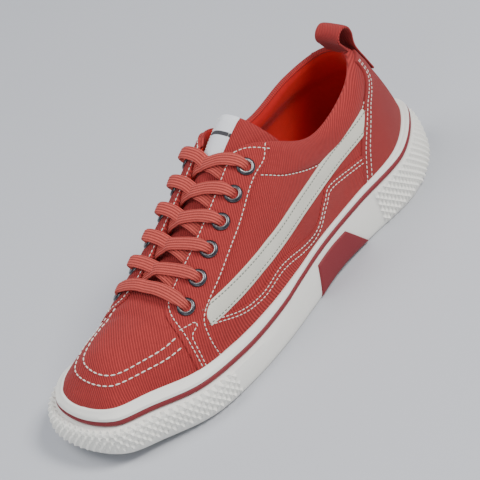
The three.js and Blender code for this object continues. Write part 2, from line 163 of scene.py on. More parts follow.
def last(u, w):
    u, w = np.broadcast_arrays(np.asarray(u, float), np.asarray(w, float))
    foot = wall(u, along("inset", u), 0)
    foot[..., 2] = SEAT + spring(foot[..., 0])
    low = foot + plan_normal(u) * along("lean", u)[..., None]
    low[..., 2] += along("rise", u)
    shoulder = np.stack([along("shoulder_" + c, u) for c in "xyz"], -1)
    top = np.stack([along("top_" + c, u) for c in "xyz"], -1)
    w = w[..., None]
    return ((1 - w) ** 3 * foot + 3 * w * (1 - w) ** 2 * low
            + 3 * w * w * (1 - w) * shoulder + w**3 * top)


def face_normal(u, w):
    """Outward normal of the last, short of the ridge."""
    e = 0.01
    near = np.minimum(w, 1 - e)
    sideways = last(u + e, near) - last(u - e, near)
    up = last(u, near + e) - last(u, near - e)
    return unit(np.cross(up, sideways))


def last_normal(u, w):
    """Outward normal; on the ridge it lies midway between the two sides and leans to neither."""
    u, w = np.broadcast_arrays(np.asarray(u, float), np.asarray(w, float))
    normal = face_normal(u, w)
    ridge = normal + face_normal(ROUND - u, w)
    ridge[..., 1] = 0
    return np.where((w > 1 - 1e-6)[..., None], unit(ridge), normal)


def from_heel(u):
    """How many ribs u lies from the heel back, on either side."""
    u = np.mod(u, ROUND)
    return np.minimum(u, ROUND - u)


def turned(rib, side):
    """The place round the foot of a rib number on the outer, 1, or the inner, -1, side."""
    return np.asarray(rib, float) if side > 0 else ROUND - np.asarray(rib, float)


# The creases: a trough or a ridge (negative depth) from one place to another, in ribs and
# shares; side 0 puts it on both sides. Width and depth are in millimetres.
CREASES = (
    # side, from rib, share, to rib, share, width, depth
    (0, 7.75, 0.86, 7.9, 0.52, 5.0, 0.7),
    (0, 8.25, 0.97, 8.2, 0.66, 6.0, 0.5),
    (0, 8.0, 1.0, 8.05, 0.74, 4.0, -0.4),
    (1, 3.2, 0.42, 4.2, 0.36, 6.0, 0.6),
    (-1, 3.0, 0.40, 4.0, 0.34, 6.0, 0.6),
    (1, 2.7, 0.30, 3.6, 0.22, 7.0, 0.4),
    (0, 5.2, 0.42, 6.0, 0.28, 8.0, 0.5),
    (0, 6.6, 0.40, 7.1, 0.20, 6.0, 0.4),
    (0, 1.9, 0.66, 2.9, 0.56, 4.0, 0.35),
    (0, 3.1, 0.60, 4.0, 0.63, 3.5, 0.35),
    (1, 9.4, 0.40, 10.2, 0.42, 5.0, 0.3),
    (-1, 8.8, 0.52, 9.6, 0.46, 6.0, 0.4),
    (0, 9.4, 0.20, 12.2, 0.22, 34.0, -2.2),
    (-1, 7.6, 0.20, 10.4, 0.20, 30.0, -1.6),
)
RIB_SPAN = 27
SHARE_SPAN = 95


def crease(u, w):
    """How far the cloth stands off its smooth form, in millimetres."""
    u, w = np.broadcast_arrays(np.asarray(u, float), np.asarray(w, float))
    k = from_heel(u)
    outer = np.mod(u, ROUND) <= TOE
    here = np.stack([k * RIB_SPAN, w * SHARE_SPAN], -1)
    height = np.zeros(u.shape)
    for side, k0, w0, k1, w1, width, depth in CREASES:
        a = np.array([k0 * RIB_SPAN, w0 * SHARE_SPAN])
        d = np.array([k1 * RIB_SPAN, w1 * SHARE_SPAN]) - a
        t = np.clip(((here - a) @ d) / (d @ d), 0, 1)
        off = np.linalg.norm(here - a - t[..., None] * d, axis=-1)
        fade = np.sin(math.pi * np.clip(t, 0.08, 0.92)) ** 0.5
        dent = depth * fade * np.exp(-((off / (0.5 * width)) ** 2))
        height -= np.where((side == 0) | (outer == (side > 0)), dent, 0)
    return height


def surface(u, w, height=0.0):
    """A point over the creased last, in millimetres."""
    u, w, height = np.broadcast_arrays(np.asarray(u, float), np.asarray(w, float), height)
    return swung(last(u, w) + last_normal(u, w) * (height + crease(u, w))[..., None])


def outline_shift():
    """From the last's own millimetres to the frame, fixed by the frame's sole."""
    low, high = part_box("sole")
    edge = swung(wall(np.linspace(0, ROUND, 4401), 0, 0))
    return np.array([low.x * 1000 - edge[:, 0].min(), high.y * 1000 - edge[:, 1].max(), 0])


SHIFT = outline_shift()


def to_frame(points):
    return (np.asarray(points, float) + SHIFT) / 1000


# ------------------------------------------------------------------ flat patterns

FLAT_COLUMNS = 8
FLAT_ROWS = 60


def flat_table():
    """Each rib laid out flat from the ridge down, keeping its length and its way in plan."""
    u = np.arange(ROUND * FLAT_COLUMNS + 1) / FLAT_COLUMNS
    points = last(u[:, None], np.linspace(1, 0, FLAT_ROWS + 1)[None, :])
    steps = np.diff(points, axis=1)
    steps = unit(steps[..., :2]) * np.linalg.norm(steps, axis=-1, keepdims=True)
    return np.concatenate([points[:, :1, :2], points[:, :1, :2] + np.cumsum(steps, axis=1)], axis=1)


FLAT = flat_table()


def flat(u, w):
    """The place of (u, w) on flat cloth, in millimetres."""
    u, w = np.broadcast_arrays(np.mod(np.asarray(u, float), ROUND), np.asarray(w, float))
    a = u * FLAT_COLUMNS
    b = (1 - np.clip(w, 0, 1)) * FLAT_ROWS
    i = np.minimum(a.astype(int), ROUND * FLAT_COLUMNS - 1)
    j = np.minimum(b.astype(int), FLAT_ROWS - 1)
    s, t = (a - i)[..., None], (b - j)[..., None]
    return ((1 - s) * (1 - t) * FLAT[i, j] + s * (1 - t) * FLAT[i + 1, j]
            + (1 - s) * t * FLAT[i, j + 1] + s * t * FLAT[i + 1, j + 1])


# ------------------------------------------------------------------ mesh helpers


def set_uv(mesh, uv):
    layer = mesh.uv_layers.new(name="UVMap")
    corners = np.zeros(len(mesh.loops), int)
    mesh.loops.foreach_get("vertex_index", corners)
    layer.data.foreach_set("uv", np.asarray(uv, np.float32)[corners].ravel())


def outward(points, faces):
    """The faces, turned over if they enclose a negative volume."""
    volume = 0.0
    for face in faces:
        a = points[face[0]]
        for i in range(1, len(face) - 1):
            volume += np.dot(a, np.cross(points[face[i]], points[face[i + 1]]))
    return faces if volume > 0 else [face[::-1] for face in faces]


def make_object(name, points, faces, uv=None, closed=True, smooth=True):
    """A mesh object from points in millimetres on the last."""
    points = np.asarray(points, float).reshape(-1, 3)
    if closed:
        faces = outward(points, faces)
    mesh = bpy.data.meshes.new(name)
    mesh.from_pydata(to_frame(points).tolist(), [], faces)
    if uv is not None:
        set_uv(mesh, np.asarray(uv).reshape(-1, 2))
    mesh.shade_smooth() if smooth else mesh.shade_flat()
    made = bpy.data.objects.new(name, mesh)
    bpy.context.scene.collection.objects.link(made)
    return made


def grid_faces(rows, columns, start=0, loop=False):
    faces = []
    for j in range(rows - 1):
        for i in range(columns if loop else columns - 1):
            k = (i + 1) % columns
            a, b = start + j * columns, start + (j + 1) * columns
            faces.append([a + i, a + k, b + k, b + i])
    return faces


def closed_sheet(name, top, low, faces, border, uv):
    """A closed sheet with one skin over another, joined round their border."""
    count = len(top)
    whole = faces + [[v + count for v in face[::-1]] for face in faces]
    for a, b in zip(border, border[1:] + border[:1]):
        whole.append([b, a, a + count, b + count])
    return make_object(name, np.concatenate([top, low]), whole, np.concatenate([uv, uv]))


def shell(name, top, low, uv):
    """A closed sheet with the grid top as its face and the grid low as its back."""
    rows, columns = top.shape[:2]
    index = np.arange(rows * columns).reshape(rows, columns)
    border = [*index[0], *index[1:, -1], *index[-1, -2::-1], *index[-2:0:-1, 0]]
    border = [int(v) for v in border]
    return closed_sheet(name, top.reshape(-1, 3), low.reshape(-1, 3), grid_faces(rows, columns), border,
                        uv.reshape(-1, 2))


def loft(name, sections, uv, loop=False):
    """A closed skin over closed sections, capped at its ends unless it runs in a loop."""
    count, size = sections.shape[:2]
    faces = []
    for j in range(count if loop else count - 1):
        k = (j + 1) % count
        for i in range(size):
            n = (i + 1) % size
            faces.append([j * size + i, j * size + n, k * size + n, k * size + i])
    if not loop:
        faces.append(list(range(size))[::-1])
        faces.append([(count - 1) * size + i for i in range(size)])
    return make_object(name, sections, faces, uv)


def rounded(piece, levels=1):
    """Finishes a piece with a subdivided surface."""
    smooth = piece.modifiers.new("smooth", "SUBSURF")
    smooth.levels = smooth.render_levels = levels
    return piece


def finish_piece(piece, finish, replaces=()):
    """Gives a piece its material, its body and the nodes that it stands for."""
    piece.data.materials.clear()
    piece.data.materials.append(finish)
    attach(piece, BODY)
    if replaces:
        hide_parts(*replaces)
    return piece


def smooth_line(points, count):
    """A curve through the points, with its stops evenly spaced."""
    points = np.asarray(points, float)
    n = len(points)
    ends = np.concatenate([[2 * points[0] - points[1]], points, [2 * points[-1] - points[-2]]])
    t = np.linspace(0, n - 1 - 1e-9, 24 * n)
    i = t.astype(int)
    f = (t - i)[:, None]
    a, b, c, d = (ends[i + k] for k in range(4))
    fine = 0.5 * (2 * b + (c - a) * f + (2 * a - 5 * b + 4 * c - d) * f**2
                  + (3 * b - a - 3 * c + d) * f**3)
    scale = np.array([RIB_SPAN, SHARE_SPAN]) if points.shape[1] == 2 else 1.0
    steps = np.linalg.norm(np.diff(fine, axis=0) * scale, axis=1)
    run = np.concatenate([[0], np.cumsum(steps)])
    stops = np.linspace(0, run[-1], count)
    return np.stack([np.interp(stops, run, fine[:, k]) for k in range(points.shape[1])], -1)


def edged(widths, count, near=(0.0, 0.5, 1.3, 2.2, 3.2)):
    """Shares across a panel for each of its widths, with lines close to both of its edges."""
    near = np.array(near)
    lines = []
    for width in widths:
        edge = np.minimum(near / max(width, 1e-6), 0.4 * near / near[-1])
        inner = np.linspace(edge[-1], 1 - edge[-1], count - 2 * len(near) + 2)[1:-1]
        lines.append(np.concatenate([edge, inner, 1 - edge[::-1]]))
    return np.array(lines)


class Panel:
    """Cloth laid on the last between two edges, each a list of (rib, share)."""

    def __init__(self, first, second, side, size=(110, 20), height=1.0):
        self.side = side
        self.height = height
        self.first = smooth_line(first, 400)
        self.second = smooth_line(second, 400)
        span = (self.first - self.second) * np.array([RIB_SPAN, SHARE_SPAN])
        self.widths = np.linalg.norm(span, axis=1)
        middle = (self.first + self.second) / 2 * np.array([RIB_SPAN, SHARE_SPAN])
        self.length = np.linalg.norm(np.diff(middle, axis=0), axis=1).sum()
        self.size = size

    def at(self, t, s):
        """The (rib, share) at t along the panel and s across it."""
        t, s = np.broadcast_arrays(np.asarray(t, float), np.asarray(s, float))
        place = t * (len(self.first) - 1)
        stops = np.arange(len(self.first))
        a = np.stack([np.interp(place, stops, self.first[:, k]) for k in (0, 1)], -1)
        b = np.stack([np.interp(place, stops, self.second[:, k]) for k in (0, 1)], -1)
        return a + (b - a) * s[..., None]

    def width(self, t):
        return np.interp(np.asarray(t) * (len(self.widths) - 1), np.arange(len(self.widths)), self.widths)

    def shell(self, name, sew=0.15):
        """The panel as a closed sheet, a little sunk where it is sewn 2 mm inside its edges."""
        n_along, n_across = self.size
        t = edged([self.length], n_along)[0]
        s = edged(self.width(t), n_across)
        place = self.at(t[:, None], s)
        u = turned(place[..., 0], self.side)
        w = place[..., 1]
        height = np.full(u.shape, float(self.height))
        height[:, 3] -= sew
        height[:, -4] -= sew
        edge = 0.35 * self.height
        height[0, :] -= edge
        height[-1, :] -= edge
        height[:, 0] -= edge
        height[:, -1] -= edge
        low = surface(u, w, -0.4)
        return rounded(shell(name, surface(u, w, height), low, flat(u, w)))

    def row_along(self, inset, start=0.0, end=1.0, other_edge=False, count=160):
        """A line at a distance inside one of the long edges."""
        t = np.linspace(start, end, count)
        s = inset / np.maximum(self.width(t), inset * 2)
        return self.at(t, 1 - s if other_edge else s)

    def row_across(self, inset, start=0.0, end=1.0, far_end=False, count=60):
        """A line at a distance inside one of the short edges."""
        t = inset / self.length
        return self.at(np.full(count, 1 - t if far_end else t), np.linspace(start, end, count))


# ------------------------------------------------------------------ shader maths


class Value:
    """A number on its way through a material, so that maths on it reads as maths."""

    def __init__(self, maker, socket):
        self.maker = maker
        self.socket = socket

    def maths(self, operation, *others):
        sockets = dict(enumerate(others))
        return self.maker.node("ShaderNodeMath", {"operation": operation}, sockets)

    def __add__(self, other):
        return self.maths("ADD", self, other)

    __radd__ = __add__

    def __sub__(self, other):
        return self.maths("SUBTRACT", self, other)

    def __rsub__(self, other):
        return self.maths("SUBTRACT", other, self)

    def __mul__(self, other):
        return self.maths("MULTIPLY", self, other)

    __rmul__ = __mul__

    def __truediv__(self, other):
        return self.maths("DIVIDE", self, other)

    def __pow__(self, other):
        return self.maths("POWER", self, other)

    def sine(self):
        return self.maths("SINE", self)

    def size(self):
        return self.maths("ABSOLUTE", self)

    def fraction(self):
        return self.maths("FRACT", self)

    def held(self):
        """The value kept between 0 and 1."""
        return self.maths("MINIMUM", self.maths("MAXIMUM", self, 0.0), 1.0)

    def step(self, low, high):
        """0 below low and 1 above high, or the other way round."""
        return ((self - low) / (high - low)).held()


class Finish:
    """A material being made: a principled surface whose nodes come from one method."""

    def __init__(self, name, fixed=None):
        self.material = bpy.data.materials.new(name)
        self.material.use_nodes = True
        self.tree = self.material.node_tree
        self.tree.nodes.clear()
        self.surface = self.tree.nodes.new("ShaderNodeBsdfPrincipled")
        output = self.tree.nodes.new("ShaderNodeOutputMaterial")
        self.tree.links.new(self.surface.outputs[0], output.inputs["Surface"])
        for key, value in (fixed or {}).items():
            self.surface.inputs[key].default_value = value

    def plug(self, socket, value):
        if isinstance(value, Value):
            value = value.socket
        if isinstance(value, bpy.types.NodeSocket):
            self.tree.links.new(value, socket)
        else:
            socket.default_value = value

    def node(self, kind, settings=None, sockets=None, output=0):
        """Makes a node, its settings first, and gives one of its outputs as a value."""
        made = self.tree.nodes.new(kind)
        settings = dict(settings or {})
        stops = settings.pop("stops", None)
        for key, value in settings.items():
            setattr(made, key, value)
        if stops:
            ramp = made.color_ramp
            while len(ramp.elements) < len(stops):
                ramp.elements.new(0.5)
            for element, (place, colour) in zip(ramp.elements, stops):
                element.position = place
                element.color = colour
        for key, value in (sockets or {}).items():
            self.plug(made.inputs[key], value)
        return Value(self, made.outputs[output])

    def object_place(self):
        return self.node("ShaderNodeTexCoord", output="Object")

    def axes(self, vector):
        split = self.node("ShaderNodeSeparateXYZ", sockets={0: vector})
        return [Value(self, out) for out in split.socket.node.outputs]

    def cloth_place(self):
        """The two coordinates of the piece's own flat pattern, in millimetres."""
        return self.axes(self.node("ShaderNodeUVMap", {"uv_map": "UVMap"}))[:2]

    def noise(self, scale, detail=2.0, vector=None, roughness=0.5):
        place = vector or self.object_place()
        return self.node("ShaderNodeTexNoise", {"noise_dimensions": "3D"},
                         {"Vector": place, "Scale": scale, "Detail": detail, "Roughness": roughness})

    def cells(self, scale, vector=None, feature="F1"):
        place = vector or self.object_place()
        return self.node("ShaderNodeTexVoronoi", {"feature": feature}, {"Vector": place, "Scale": scale})

    def vector(self, x, y, z=0.0):
        return self.node("ShaderNodeCombineXYZ", sockets={0: x, 1: y, 2: z})

    def mix(self, factor, first, second):
        """A colour between two colours."""
        settings = {"data_type": "RGBA", "clamp_factor": True}
        return self.node("ShaderNodeMix", settings, {0: factor, 6: first, 7: second}, output=2)

    def colour(self, value):
        self.plug(self.surface.inputs["Base Color"], value)

    def rough(self, value):
        self.plug(self.surface.inputs["Roughness"], value)

    def bump(self, height, distance, strength=1.0):
        """Relief in metres."""
        relief = self.node("ShaderNodeBump", None,
                           {"Height": height, "Distance": distance, "Strength": strength})
        self.plug(self.surface.inputs["Normal"], relief)


def rgb(colour, share=1.0):
    return (colour[0] * share, colour[1] * share, colour[2] * share, 1.0)


FINISHES = {}


def finish_named(name):
    """A material of the shoe, made when it is first asked for."""
    if name not in FINISHES:
        FINISHES[name] = MAKERS[name]()
    return FINISHES[name]


TAU = 2 * math.pi
LACE_CORD = 3.0                # two ribs of the braid


def twill(name, colour, pitch=1.38, angle=46, contrast=1.0, relief=0.00028):
    """Twill: ribs of yarn at a slant, each rib crossed by short floats, a little uneven."""
    f = Finish(name, {"Sheen Weight": 0.06, "Sheen Roughness": 0.4, "Specular IOR Level": 0.25})
    across, down = f.cloth_place()
    slant = math.radians(angle)
    wander = f.noise(55, 2) * 0.5
    rib = (down * math.cos(slant) - across * math.sin(slant)) / pitch + wander
    run = (across * math.cos(slant) + down * math.sin(slant)) / (pitch * 0.62)
    ridge = (rib * TAU).sine() * 0.5 + 0.5
    float_ends = ((run + rib) * TAU).sine() * 0.5 + 0.5
    yarn = ridge * 0.86 + ridge * float_ends * 0.14
    heather = f.noise(420, 3)
    cloud = f.noise(28, 3)
    tone = (yarn * 0.8 * contrast + heather * 0.35 + cloud * 0.25 - 0.2 * contrast).held()
    f.colour(f.mix(tone, rgb(colour, 0.6), rgb(colour, 1.3)))
    f.rough(0.92 - yarn * 0.12)
    f.bump(yarn + heather * 0.3, relief)
    return f.material


def plain_weave(name, colour, pitch=0.55, relief=0.00012):
    """A close plain weave, nearly smooth to the eye."""
    f = Finish(name, {"Sheen Weight": 0.05, "Sheen Roughness": 0.4, "Specular IOR Level": 0.25})
    across, down = f.cloth_place()
    warp = (across * (TAU / pitch)).sine()
    weft = (down * (TAU / pitch)).sine()
    weave = warp * weft * 0.5 + 0.5
    heather = f.noise(500, 3)
    cloud = f.noise(30, 3)
    tone = (weave * 0.35 + heather * 0.45 + cloud * 0.45 - 0.1).held()
    f.colour(f.mix(tone, rgb(colour, 0.78), rgb(colour, 1.18)))
    f.rough(0.88 - weave * 0.1)
    f.bump(weave + heather * 0.5, relief)
    return f.material


def shoe_colours():
    return bpy.context.scene.shoe_colours


def make_canvas():
    return twill("canvas_twill", shoe_colours().canvas)


def make_fine_canvas():
    return plain_weave("fine_canvas", shoe_colours().fine_canvas)


def make_tongue_cloth():
    return twill("tongue_twill", shoe_colours().canvas, contrast=0.7)


def make_lining():
    return plain_weave("lining_cloth", shoe_colours().lining, pitch=0.8, relief=0.0001)


def make_webbing():
    return twill("loop_webbing", shoe_colours().canvas, pitch=1.0, angle=35, contrast=0.8)


def make_lace_cloth():
    """Flat braid: rows of small slanted plaits that mirror about the lace's middle."""
    f = Finish("lace_braid", {"Sheen Weight": 0.08, "Sheen Roughness": 0.4, "Specular IOR Level": 0.25})
    run, across = f.cloth_place()
    cords = (across * (TAU / LACE_CORD)).sine().size()
    stitch = ((run / 1.3 + across.size() * 0.5) * TAU).sine() * 0.5 + 0.5
    braid = cords * 0.7 + cords * stitch * 0.3
    heather = f.noise(600, 3)
    # The tone is darker in the grooves between the cords: painted shade, on top of the braid's own
    # pattern.
    tone = (braid * 0.85 + heather * 0.4 - 0.15).held()
    colour = shoe_colours().lace
    f.colour(f.mix(tone, rgb(colour, 0.42), rgb(colour, 1.2)))
    f.rough(0.9 - braid * 0.1)
    f.bump(braid + heather * 0.3, 0.00025)
    return f.material


def make_leather():
    """Smooth leather: fine pebbled grain, softly uneven."""
    f = Finish("cream_leather", {"Coat Weight": 0.12, "Coat Roughness": 0.4})
    grain = f.cells(1600, feature="SMOOTH_F1")
    cloud = f.noise(45, 4)
    tone = (cloud * 0.9 + grain * 0.25).held()
    colour = shoe_colours().leather
    f.colour(f.mix(tone, rgb(colour, 0.9), rgb(colour, 1.04)))
    f.rough(0.5 + cloud * 0.18)
    f.bump(grain * 0.6 + cloud * 0.6, 0.00012)
    return f.material


def rubber(name, colour, darkening=0.12):
    """Moulded rubber: faintly pitted, a little darker low down and in patches."""
    f = Finish(name, {"Specular IOR Level": 0.4})
    pits = f.noise(900, 3)
    cloud = f.noise(18, 4)
    height = f.axes(f.object_place())[2]
    low = height.step(0.012, 0.0)
    # Darker within 12 mm of the floor and in random patches.
    tone = (cloud * darkening * 2 + low * darkening).held()
    f.colour(f.mix(tone, rgb(colour, 1.0), rgb(colour, 0.84)))
    f.rough(0.48 + cloud * 0.2)
    f.bump(pits + cloud * 0.8, 0.00008)
    return f.material


def make_rubber():
    return rubber("white_rubber", shoe_colours().rubber)


def make_red_rubber():
    return rubber("red_rubber", shoe_colours().red_rubber)


def make_steel():
    """Dark plated steel, with a painted highlight on the inner lip and outer rim of each ring."""
    f = Finish("plated_steel", {"Metallic": 1.0})
    wear = f.noise(700, 4)
    cloud = f.noise(160, 3)
    colour = shoe_colours().eyelet
    radius = f.cloth_place()[0]
    # Painted highlight: a pale bright colour laid on the ring's inner lip and, more faintly, on its outer
    # rim.
    rim_highlight = radius.step(3.9, 3.2) * 0.75 + radius.step(4.9, 5.15) * 0.25
    plate = f.mix((wear * cloud * 2.2).held(), rgb(colour, 0.7), rgb(colour, 2.0))
    f.colour(f.mix(rim_highlight * (cloud + 0.3), plate, (0.62, 0.60, 0.57, 1)))
    f.rough(0.24 + wear * 0.18)
    f.bump(wear, 0.00003)
    return f.material


def thread(name, colour):
    """Twisted thread, read from the place of each stitch."""
    f = Finish(name, {"Sheen Weight": 0.2})
    fibre = f.noise(1400, 3)
    cloud = f.noise(90, 2)
    f.colour(f.mix((fibre * 0.7 + cloud * 0.5).held(), rgb(colour, 0.78), rgb(colour, 1.08)))
    f.rough(0.75 + fibre * 0.15)
    f.bump(fibre, 0.0001)
    return f.material


def make_white_thread():
    return thread("white_thread", shoe_colours().thread)


def make_grey_thread():
    return thread("grey_thread", shoe_colours().band_thread)


def make_red_thread():
    return thread("red_thread", shoe_colours().canvas)


def make_label():
    """Woven satin label with a plain dark band near its lower edge."""
    f = Finish("woven_label", {"Sheen Weight": 0.1})
    across, down = f.cloth_place()
    threads = (across * (TAU / 0.45)).sine() * (down * (TAU / 0.9)).sine() * 0.5 + 0.5
    cloud = f.noise(60, 3)
    white = f.mix((threads * 0.4 + cloud * 0.6).held(), (0.68, 0.69, 0.72, 1), (0.86, 0.87, 0.9, 1))
    band = down.step(13.6, 13.8) * down.step(16.4, 16.2)
    f.colour(f.mix(band, white, (0.03, 0.03, 0.035, 1)))
    f.rough(0.55 + threads * 0.15)
    f.bump(threads, 0.00008)
    return f.material


MAKERS = {
    "canvas": make_canvas,
    "fine_canvas": make_fine_canvas,
    "tongue": make_tongue_cloth,
    "lining": make_lining,
    "webbing": make_webbing,
    "lace": make_lace_cloth,
    "leather": make_leather,
    "rubber": make_rubber,
    "red_rubber": make_red_rubber,
    "steel": make_steel,
    "white_thread": make_white_thread,
    "grey_thread": make_grey_thread,
    "red_thread": make_red_thread,
    "label": make_label,
}

# ------------------------------------------------------------------ geometry nodes


class NodeRecipe:
    """A geometry tree being made, with named inputs."""

    def __init__(self, name, inputs):
        self.tree = bpy.data.node_groups.new(name, "GeometryNodeTree")
        face = self.tree.interface
        face.new_socket("Geometry", in_out="INPUT", socket_type="NodeSocketGeometry")
        for label, kind in inputs.items():
            face.new_socket(label, in_out="INPUT", socket_type=kind)
        face.new_socket("Geometry", in_out="OUTPUT", socket_type="NodeSocketGeometry")
        self.inputs = self.tree.nodes.new("NodeGroupInput").outputs
        self.output = self.tree.nodes.new("NodeGroupOutput")

    def node(self, kind, settings=None, sockets=None):
        made = self.tree.nodes.new(kind)
        for key, value in (settings or {}).items():
            setattr(made, key, value)
        for key, value in (sockets or {}).items():
            if isinstance(value, bpy.types.NodeSocket):
                self.tree.links.new(value, made.inputs[key])
            else:
                made.inputs[key].default_value = value
        return made.outputs

    def turned_to(self, tangent):
        """A rotation with its X along the tangent and its Z along the named attribute up."""
        up = self.node("GeometryNodeInputNamedAttribute", {"data_type": "FLOAT_VECTOR"},
                       {"Name": "up"})
        first = self.node("FunctionNodeAlignRotationToVector", {"axis": "X"}, {"Vector": tangent})
        second = self.node("FunctionNodeAlignRotationToVector", {"axis": "Z", "pivot_axis": "X"},
                           {"Rotation": first[0], "Vector": up["Attribute"]})
        return second[0]

    def end(self, instances):
        """Realizes the instances and gives them the finish."""
        real = self.node("GeometryNodeRealizeInstances", None, {"Geometry": instances})
        smooth = self.node("GeometryNodeSetShadeSmooth", None, {"Geometry": real[0]})
        done = self.node("GeometryNodeSetMaterial", None,
                         {"Geometry": smooth[0], "Material": self.inputs["Finish"]})
        self.tree.links.new(done[0], self.output.inputs[0])
        return self.tree


def stitch_tree():
    """Stitches a pitch apart along every line of edges, lying flat on the cloth."""
    r = NodeRecipe("stitch_rows", {
        "Pitch": "NodeSocketFloat", "Length": "NodeSocketFloat", "Thickness": "NodeSocketFloat",
        "Finish": "NodeSocketMaterial"})
    line = r.node("GeometryNodeMeshToCurve", None, {"Mesh": r.inputs["Geometry"]})
    stops = r.node("GeometryNodeResampleCurve", {"mode": "LENGTH"},
                   {"Curve": line[0], "Length": r.inputs["Pitch"]})
    tangent = r.node("GeometryNodeInputTangent")
    grain = r.node("GeometryNodeMeshUVSphere", None, {"Segments": 7, "Rings": 6, "Radius": 0.5})
    lay = r.node("GeometryNodeTransform", None,
                 {"Geometry": grain[0], "Rotation": (0.0, math.pi / 2, 0.0)})
    size = r.node("ShaderNodeCombineXYZ", None,
                  {0: r.inputs["Length"], 1: r.inputs["Thickness"], 2: r.inputs["Thickness"]})
    laid = r.node("GeometryNodeInstanceOnPoints", None,
                  {"Points": stops[0], "Instance": lay[0],
                   "Rotation": r.turned_to(tangent[0]), "Scale": size[0]})
    return r.end(laid[0])


def scatter_tree():
    """A shape on every point, turned by the point's attributes up and way."""
    r = NodeRecipe("set_on_points", {"Shape": "NodeSocketObject", "Finish": "NodeSocketMaterial"})
    way = r.node("GeometryNodeInputNamedAttribute", {"data_type": "FLOAT_VECTOR"}, {"Name": "way"})
    shape = r.node("GeometryNodeObjectInfo", None,
                   {"Object": r.inputs["Shape"], "As Instance": True})
    size = r.node("GeometryNodeInputNamedAttribute", {"data_type": "FLOAT"}, {"Name": "size"})
    placed = r.node("GeometryNodeInstanceOnPoints", None,
                    {"Points": r.inputs["Geometry"], "Instance": shape["Geometry"],
                     "Rotation": r.turned_to(way["Attribute"]), "Scale": size["Attribute"]})
    return r.end(placed[0])


TREES = {}


def tree_named(maker):
    if maker not in TREES:
        TREES[maker] = maker()
    return TREES[maker]


def grown(name, seed, tree, values):
    """The plain mesh that a geometry tree grows on a seed object, which is then removed."""
    grow = seed.modifiers.new("grow", "NODES")
    grow.node_group = tree
    for item in tree.interface.items_tree:
        if item.in_out == "INPUT" and item.name in values:
            grow[item.identifier] = values[item.name]
    seed.update_tag()
    bpy.context.view_layer.update()
    ready = seed.evaluated_get(bpy.context.evaluated_depsgraph_get())
    mesh = bpy.data.meshes.new_from_object(ready)
    if not mesh.polygons:
        raise RuntimeError(f"nothing grew for {name}")
    seed.modifiers.remove(grow)
    bpy.data.objects.remove(seed)
    mesh.name = name
    for attribute in ("up", "way", "size"):
        if attribute in mesh.attributes:
            mesh.attributes.remove(mesh.attributes[attribute])
    piece = bpy.data.objects.new(name, mesh)
    bpy.context.scene.collection.objects.link(piece)
    return piece


def seed_points(points, up, way=None, size=None, edges=()):
    """An object of bare points and edges that a tree grows on, in millimetres."""
    mesh = bpy.data.meshes.new("seed")
    mesh.from_pydata(to_frame(points).tolist(), list(edges), [])
    for label, kind, values in (("up", "FLOAT_VECTOR", up), ("way", "FLOAT_VECTOR", way),
                                ("size", "FLOAT", size)):
        if values is not None:
            layer = mesh.attributes.new(label, kind, "POINT")
            key = "vector" if kind == "FLOAT_VECTOR" else "value"
            layer.data.foreach_set(key, np.asarray(values, np.float32).ravel())
    made = bpy.data.objects.new("seed", mesh)
    bpy.context.scene.collection.objects.link(made)
    return made


def sew(name, rows, thread_name, pitch=2.7, length=2.0, thickness=0.62):
    """Stitching as one piece. Each row is (points, ups), in millimetres."""
    points = np.concatenate([row[0] for row in rows])
    up = np.concatenate([row[1] for row in rows])
    edges = []
    start = 0
    for row in rows:
        edges += [(start + i, start + i + 1) for i in range(len(row[0]) - 1)]
        start += len(row[0])
    values = {"Pitch": pitch / 1000, "Length": length / 1000, "Thickness": thickness / 1000,
              "Finish": finish_named(thread_name)}
    piece = grown(name, seed_points(points, up, edges=edges), tree_named(stitch_tree), values)
    return finish_piece(piece, finish_named(thread_name))


def row_on_last(line, side, height):
    """A row of stitches along a line of (rib, share) at a height over the last."""
    u = turned(line[:, 0], side)
    w = line[:, 1]
    return surface(u, w, height), last_normal(u, w)


def sewn_line(stops, side, height, count=120):
    return row_on_last(smooth_line(stops, count), side, height)


SIDES = (("lateral", 1), ("medial", -1))

# ------------------------------------------------------------------ panels' edges, in (rib, share)

# The collar's seam is level round the heel, dips under the ankle and climbs to the throat.
COLLAR_SEAM = ((0, 0.61), (1.2, 0.6), (2.8, 0.49), (4.2, 0.57), (5.0, 0.64))
QUARTER_TOP = (*COLLAR_SEAM[:-1], (4.7, 0.61), (5.0, 0.8), (5.3, 0.85), (7.6, 0.85))
# The counter starts at the collar under the loop and sweeps forward down to the sole.
COUNTER_EDGE = ((1.2, 0.7), (1.35, 0.61), (2.0, 0.53), (2.5, 0.38), (2.85, 0.15))
# The overlay's wave: high beside the counter, low at the waist, then up to the eyestay.
OVERLAY_EDGE = ((2.45, 0.34), (3.3, 0.38), (3.6, 0.32), (4.0, 0.225), (4.6, 0.21), (5.4, 0.24),
                (6.1, 0.245), (6.7, 0.31), (7.4, 0.48))
# The eyestay runs along the throat, turns its corner and goes down to the sole.
EYESTAY_FRONT = ((4.95, 0.85), (6.3, 0.85), (7.4, 0.85), (7.85, 0.77), (7.9, 0.5), (7.85, 0.1))
EYESTAY_REAR = ((4.1, 0.75), (4.5, 0.66), (5.5, 0.59), (6.5, 0.55), (7.2, 0.5), (7.33, 0.35),
                (7.23, 0.1))
BAND_LINE = ((50, 59.5), (190, 45.5))  # x and height at two places on its middle
BAND_RIBS = (2.05, 7.3)
BAND_WIDTH = 11.2
EYESTAY_HEIGHT = 1.0
COUNTER_HEIGHT = 1.1
OVERLAY_HEIGHT = 0.75
BAND_HEIGHT = 0.95
PAD_PUFF = 1.3


def share_on(line, rib):
    """The share of an edge at a rib number."""
    line = smooth_line(line, 300)
    return np.interp(rib, line[:, 0], line[:, 1])


